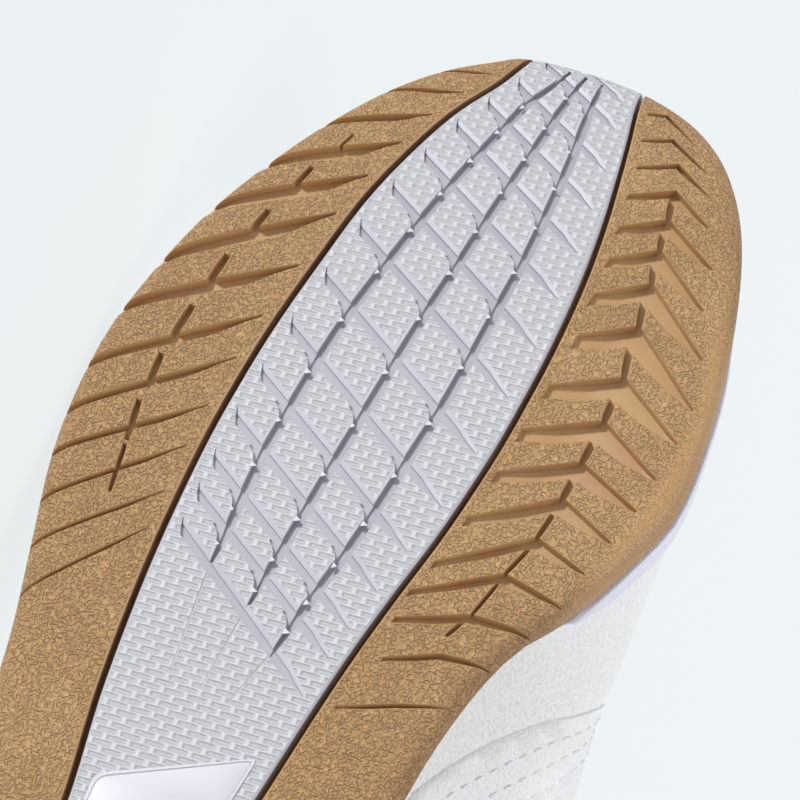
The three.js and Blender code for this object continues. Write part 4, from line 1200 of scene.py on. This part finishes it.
# Overlays of smoother leather on the upper
overlay = {"underside": 0.03, "edge": 0.35, "edgeAngle": 55, "gap": 0.3, "stayEnd": 0.63}
quarter = {
    "outline": [(0.504, -0.05), (0.445, 0.01), (0.414, 0.06), (0.39, 0.14), (0.369, 0.3), (0.354, 0.46),
                (0.346, 0.7)],
    "rear": [(0.62, 1.1), (0.618, 0.8), (0.625, 0.6), (0.64, 0.42), (0.66, 0.24), (0.677, 0.1), (0.69, -0.05)],
}
counter = {
    "outline": [(0.745, -0.05), (0.757, 0.1), (0.782, 0.22), (0.82, 0.31), (0.86, 0.39), (0.9, 0.46), (0.945, 0.52),
                (1.05, 0.56)],
}


def overlayShell():
    shell = bodyForm("overlay", sole["clearance"] + last["overlay"], last["footDrop"])
    dress(shell, overlayLeather)
    openShell(shell, [bodyForm("under", overlay["underside"], 8), soleBed(), collarPrism(), throatPrism(0, 0.72)])
    return shell


def copyOf(piece, name):
    twin = piece.copy()
    twin.data = piece.data.copy()
    twin.name = name
    bpy.context.scene.collection.objects.link(twin)
    return twin


def finishOverlay(piece, node):
    pick(piece)
    edge = piece.modifiers.new("edge", "BEVEL")
    edge.width = overlay["edge"]
    edge.segments = 2
    edge.limit_method = "ANGLE"
    edge.angle_limit = math.radians(overlay["edgeAngle"])
    bpy.ops.object.modifier_apply(modifier=edge.name)
    settle(piece, "white_leather", node, angle=50)


def makeOverlays():
    shell = overlayShell()
    stay = copyOf(shell, "eyestay_panel")
    combine(stay, throatPrism(throat["eyestay"], overlay["stayEnd"]), "INTERSECT")
    openShell(stay, eyeletPins())
    finishOverlay(stay, "eyestay")
    line = np.concatenate([smoothLine(quarter["outline"]), smoothLine(quarter["rear"])])
    for side, reach in (("medial", (8, 200)), ("lateral", (-200, -8))):
        panel = copyOf(shell, f"quarter_panel_{side}")
        combine(panel, sidePrism(line, *reach), "INTERSECT")
        combine(panel, throatPrism(throat["eyestay"] + overlay["gap"], overlay["stayEnd"]))
        finishOverlay(panel, f"quarter_{side}")
    heel = copyOf(shell, "heel_panel")
    combine(heel, sidePrism(np.concatenate([smoothLine(counter["outline"]), [(1.05, -0.05)]])), "INTERSECT")
    finishOverlay(heel, "heel_counter")
    bpy.data.objects.remove(shell)


makeOverlays()
print("overlays made")


def toplineSpots():
    # where the body's columns cross the topline of the collar
    spots, ways = [], []
    for i in range(-half, half):
        column, normals = body[:, i], bodyNormals[:, i]
        if stationOf(column[0, 0]) < 0.6:
            continue
        over = column[:, 2] - collarHeight(column[:, 0])
        for k in range(len(column) - 1):
            if over[k] < 0 <= over[k + 1] and stationOf(column[k, 0]) > 0.615:
                share = -over[k] / (over[k + 1] - over[k])
                spots.append(column[k] + (column[k + 1] - column[k]) * share)
                ways.append(normals[k] + (normals[k + 1] - normals[k]) * share)
                break
    return np.array(spots), unit(np.array(ways))


def relaxed(points, rounds):
    points = points.copy()
    for _ in range(rounds):
        points[1:-1] = (points[:-2] + 2 * points[1:-1] + points[2:]) / 4
    return points


def sweepRings(spots, sides, ups, widths, heights, corners=16, square=1.0):
    # rings of a soft tube: half widths along each side vector, half heights along each up vector
    angle = 2 * np.pi * np.arange(corners) / corners
    c, s = (np.sign(part) * np.abs(part) ** square for part in (np.cos(angle), np.sin(angle)))
    return np.array([spot + np.outer(c * w, side) + np.outer(s * h, up)
                     for spot, side, up, w, h in zip(spots, sides, ups, widths, heights)])


collar = {"halfWidth": 2.9, "halfHeight": 4.2, "under": 1.6}


def makeCollar():
    spots, ways = toplineSpots()
    spots, ways = relaxed(spots, 3), relaxed(ways, 3)
    along = unit(np.gradient(spots, axis=0))
    ways = squareTo(ways, along)
    ups = np.cross(along, ways)
    ups *= np.sign(ups[:, 2:3])
    centres = spots - ways * ((last["wall"] + last["padding"]) / 2) - ups * collar["under"]
    run = np.linspace(0, 1, len(spots))
    size = 0.35 + 0.65 * ease(0, 0.05, run) * ease(0, 0.05, 1 - run)
    rings = sweepRings(centres, ways, ups, collar["halfWidth"] * size, collar["halfHeight"] * size)
    piece = shapeGrid("collar_roll", rings)
    dress(piece, liningCloth)
    settle(piece, "white_cloth", angle=80)


makeCollar()
print("collar made")

tongueForm = {"front": 0.33, "top": 0.662, "halfWidth": 24.0, "thick": 4.2, "rows": 56, "across": 29, "crown": 0.5,
              "crease": 0.55, "creaseAt": 0.62}


def makeTongue():
    tree = treeOf(bodyForm("bare", 0.0, 0))
    front, end, thick = tongueForm["front"], tongueForm["top"], tongueForm["thick"]
    rows = []
    for at in np.linspace(front, end, tongueForm["rows"]):
        near = np.clip((at - end + 0.024) / 0.027, 0, 0.97)
        wide = tongueForm["halfWidth"] * (0.8 + 0.2 * float(ease(front, end, at))) * math.sqrt(1 - near ** 2)
        edgeFall = float(ease(0, 0.05, at - front + 0.006)) * float(ease(0, 0.012, end - at + 0.004))
        upper, lower = [], []
        for t in np.sin(np.linspace(-1, 1, tongueForm["across"]) * np.pi / 2):
            spot, normal = (np.array(found) for found in onTop(tree, xOf(at), midY(at) + t * wide))
            margin = float(collarMargin(spot[None, :])[0]) - sole["clearance"]
            puff = thick / 2 * math.sqrt(max(0.0, 1 - abs(t) ** 3.2)) * (0.3 + 0.7 * edgeFall)
            middle = spot + normal * (margin - thick / 2)
            # a stitched line runs along each edge
            crease = tongueForm["crease"] * math.exp(-((abs(t) - tongueForm["creaseAt"]) / 0.05) ** 2)
            upper.append(middle + normal * (puff + tongueForm["crown"] * (1 - t * t) - crease))
            lower.append(middle - normal * (puff * 0.9))
        rows.append(upper + lower[::-1][1:-1])
    piece = shapeGrid("tongue_pad", rows)
    dress(piece, tongueCloth)
    settle(piece, "white_cloth", "tongue", angle=70)


makeTongue()
print("tongue made")

sockLiner = {"inset": 7.0, "thick": 4.0, "cup": 1.2}


def makeInsole():
    low = featherHeight(outlineX, onMedial)
    inset, high = sockLiner["inset"], low + sockLiner["thick"]
    cup = sockLiner["cup"] * ease(0.55, 0.85, outlineAt) * 0.6
    levels = [(1, low), (0, low + 0.8), (0, high - 0.8 + cup), (0.9, high + cup), (3.5, high - 0.3),
              (9, high - 0.9)]
    piece = shapeGrid("sock_liner", [outlineRing(inset + more, height) for more, height in levels], ladder=True)
    dress(piece, insoleCloth)
    settle(piece, "insole_cloth", "insole", angle=60)


makeInsole()
print("insole made")

# Flat lace through the eyelets, over the tongue and under the far side
lace = {"width": 6.0, "thickness": 1.4, "gap": 0.8, "crown": 0.6, "reach": 0.66, "steps": 9}


def lacePath(side, i):
    start, startUp = eyeletSpot(side, i)
    end, endUp = eyeletSpot(-side, i + 1)
    run = end - start
    way = run.normalized()
    lift = lace["gap"] + lace["thickness"] / 2 - sole["clearance"]
    rows = [(start - startUp * 4.2, -way, 3.4), (start - startUp * 1.4, -way, 3.4),
            (start + startUp * 0.5, (startUp - way * 0.6).normalized(), 3.8)]
    for k in range(1, lace["steps"] + 1):
        share = lace["reach"] * (0.08 + 0.92 * k / lace["steps"])
        place = start + run * share
        up = startUp.lerp(endUp, share).normalized()
        rise = lift + lace["crown"] * math.sin(math.pi * k / lace["steps"])
        width = lace["width"] * (0.78 + 0.22 * min(1.0, k / 3))
        rows.append((onTop(bodyTree, place.x, place.y)[0] + up * rise, up, width))
    for share, depth, width in ((0.72, 0.9, 1), (0.78, 2.6, 1), (0.88, 4.4, 1), (1.0, 4.6, 0.7)):
        place = start + run * share
        rows.append((onTop(bodyTree, place.x, place.y)[0] - endUp * depth, endUp, lace["width"] * width))
    spots, ups, widths = zip(*rows)
    return np.array(spots), np.array(ups), np.array(widths) / 2


def makeLaces():
    for i in range(eyelets["count"] - 1):
        runs = []
        for side, lift in ((-1, 0.0), (1, 0.75)):  # one run lies over the other where they cross
            spots, ups, widths = lacePath(side, i)
            spots = relaxed(spots, 1)
            along = unit(np.gradient(spots, axis=0))
            ups = squareTo(ups, along)
            share = np.linspace(0, 1, len(spots))
            spots = spots + ups * (lift * np.exp(-((share - 0.47) / 0.16) ** 2))[:, None]
            heights = np.where(widths < 2, 0.95, lace["thickness"] / 2)
            rings = sweepRings(spots, np.cross(ups, along), ups, widths, heights, 12, 0.55)
            runs.append(shapeGrid("lace_run", rings))
        piece = joinAll(runs, f"lace_{i + 1}")
        pick(piece)
        finer = piece.modifiers.new("finer", "SUBSURF")
        finer.levels = finer.render_levels = 1
        bpy.ops.object.modifier_apply(modifier=finer.name)
        dress(piece, laceCloth)
        settle(piece, "lace_cloth", f"lace_crossing_{i + 1}", angle=70)


makeLaces()
print("laces made")

# Seams: short thread stitches laid on the leather
stitch = {"length": 2.3, "pitch": 3.0, "radius": 0.27, "proud": 0.08}
seamRows = {"front": (2.4, 4.7, 7.0), "rear": 2.2, "counter": (0.022, 0.045), "throat": 2.0, "stay": (2.0, 4.2)}


def layStitches(name, lines):
    clearPick()
    bpy.ops.mesh.primitive_uv_sphere_add(segments=8, ring_count=6, radius=1)
    model = bpy.context.object
    long, radius = stitch["length"] / 2, stitch["radius"]
    shape = coordsOf(model) * np.array([long, radius, radius])
    shape[:, 2] -= radius * (shape[:, 0] / long) ** 2
    faces = [tuple(face.vertices) for face in model.data.polygons]
    bpy.data.objects.remove(model)
    spots, corners = [], []
    for line in lines:
        points, ups = (np.array(column) for column in zip(*line))
        gaps = np.concatenate([[0], np.cumsum(np.linalg.norm(np.diff(points, axis=0), axis=1))])
        for start in np.arange(stitch["pitch"] / 2, gaps[-1] - long, stitch["pitch"]):
            ends = np.stack([np.interp([start - long, start, start + long], gaps, points[:, k]) for k in range(3)], 1)
            up = np.array([np.interp(start, gaps, ups[:, k]) for k in range(3)])
            way = unit(ends[2] - ends[0])
            side = unit(np.cross(up, way))
            up = np.cross(way, side)
            base = len(spots) * len(shape)
            spots.append(ends[1] + up * stitch["proud"] + shape @ np.stack([way, side, up]))
            corners += [tuple(base + v for v in face) for face in faces]
    mesh = bpy.data.meshes.new(name)
    mesh.from_pydata(np.concatenate(spots).tolist(), [], corners)
    piece = bpy.data.objects.new(name, mesh)
    bpy.context.scene.collection.objects.link(piece)
    dress(piece, threadWhite)
    settle(piece, "lace_cloth", angle=60)


def sideLine(line, side, low=0.0, high=9.0):
    spots = []
    for at, height in line:
        z = featherHeight(xOf(at)) + height * last["height"]
        hit, normal = bodyTree.ray_cast(Vector((xOf(at), side * 200, z)), Vector((0, -side, 0)))[:2]
        if hit is not None and low <= height <= high:
            spots.append((hit, normal))
    return spots


def clearOfStay(spots):
    keep = []
    for spot, normal in spots:
        at = stationOf(spot.x)
        if abs(spot.y - midY(at)) > throatHalf(at) + throat["eyestay"] + 1.5 or at < throat["front"] - 0.07:
            keep.append((spot, normal))
    return keep


def denser(points, count=90):
    size = [sole["length"], last["height"]]
    return spread(smoothLine(points) * size, count) / size


def makeSeams():
    rows = []
    front, rear, over = denser(quarter["outline"]), denser(quarter["rear"]), denser(counter["outline"])
    size = np.array([-sole["length"], last["height"]])
    way = unit(np.gradient(front * size, axis=0))
    inward = np.stack([-way[:, 1], way[:, 0]], 1) / size
    for side in (-1, 1):
        rows += [clearOfStay(sideLine(front + inward * inside, side, -0.03, 0.7)) for inside in seamRows["front"]]
        rows.append(clearOfStay(sideLine(rear - (seamRows["rear"] / sole["length"], 0), side, 0.0, 0.66)))
        rows += [sideLine(over[over[:, 0] < 0.965] - (0, inside), side, 0.02) for inside in seamRows["counter"]]
    for margin in (seamRows["throat"], *(throat["eyestay"] - inside for inside in seamRows["stay"])):
        found = [onTop(bodyTree, x, y) for x, y in spread(throatPoints(margin, 0.6), 160)]
        rows.append([(spot, normal) for spot, normal in found
                     if spot.z < float(collarHeight(spot.x)) + 40 and normal.z > 0.2])
    layStitches("seams", [row for row in rows if len(row) > 4])


makeSeams()
print("seams made")


# Floor, light and surroundings
stage = {"floor": (0.06, 0.063, 0.064), "glow": (0.825, 0.87, 0.88), "glowStrength": 0.915,
         "reach": 4.0, "bend": 2.5, "wall": 7.0, "width": 16.0, "sky": 0.5}
suns = {  # way towards the light, its strength, and how many degrees it spreads
    # the main light comes from the lateral side and below, so that the walls of the grooves shade their floors
    "main_light": ((0.22, -0.58, -0.78), 2.4, 7),
    # and a broad one from the medial side, which is up, brings up the upper
    "fill_light": ((0.15, 0.95, -0.28), 1.5, 45),
}


def makeFloor():
    # flat to the reach, then bent up into a wall
    clearPick()
    bpy.ops.mesh.primitive_grid_add(x_subdivisions=2, y_subdivisions=24, size=1)
    floor = bpy.context.object
    floor.name = "floor"
    co = coordsOf(floor)
    share = co[:, 1] + 0.5
    reach, bend = stage["reach"], stage["bend"]
    angle = np.clip((share - 0.5) / 0.5, 0, 1) * np.pi / 2
    flat = np.where(share < 0.5, -reach + 2 * reach * share / 0.5, reach + bend * np.sin(angle))
    rise = np.where(share > 0.999, stage["wall"], bend * (1 - np.cos(angle)))
    setCoords(floor, np.stack([co[:, 0] * stage["width"], flat, rise], 1))
    finish, tree, shader = newFinish("floor_paint", stage["floor"], 0.9)
    shader.inputs["Emission Color"].default_value = (*stage["glow"], 1)
    shader.inputs["Emission Strength"].default_value = stage["glowStrength"]
    bump(tree, shader, noise(tree, objectPlace(tree), 300.0, 2.0), 0.00002)
    dress(floor, finish)
    pick(floor)
    bpy.ops.object.shade_smooth()
    floor.visible_shadow = False


makeFloor()
for name, (fromWay, strength, degrees) in suns.items():
    clearPick()
    bpy.ops.object.light_add(type="SUN")
    sun = bpy.context.object
    sun.name = name
    sun.data.energy = strength
    sun.data.angle = math.radians(degrees)
    way = turned @ Vector(fromWay).normalized()
    sun.matrix_world = way.to_track_quat("Z", "Y").to_matrix().to_4x4()
sky = bpy.data.worlds.new("surroundings")
sky.use_nodes = True
sky.node_tree.nodes["Background"].inputs["Color"].default_value = (0.96, 0.96, 1.0, 1)
sky.node_tree.nodes["Background"].inputs["Strength"].default_value = stage["sky"]
bpy.context.scene.world = sky
bpy.context.scene.view_settings.view_transform = "Standard"
print("stage set")
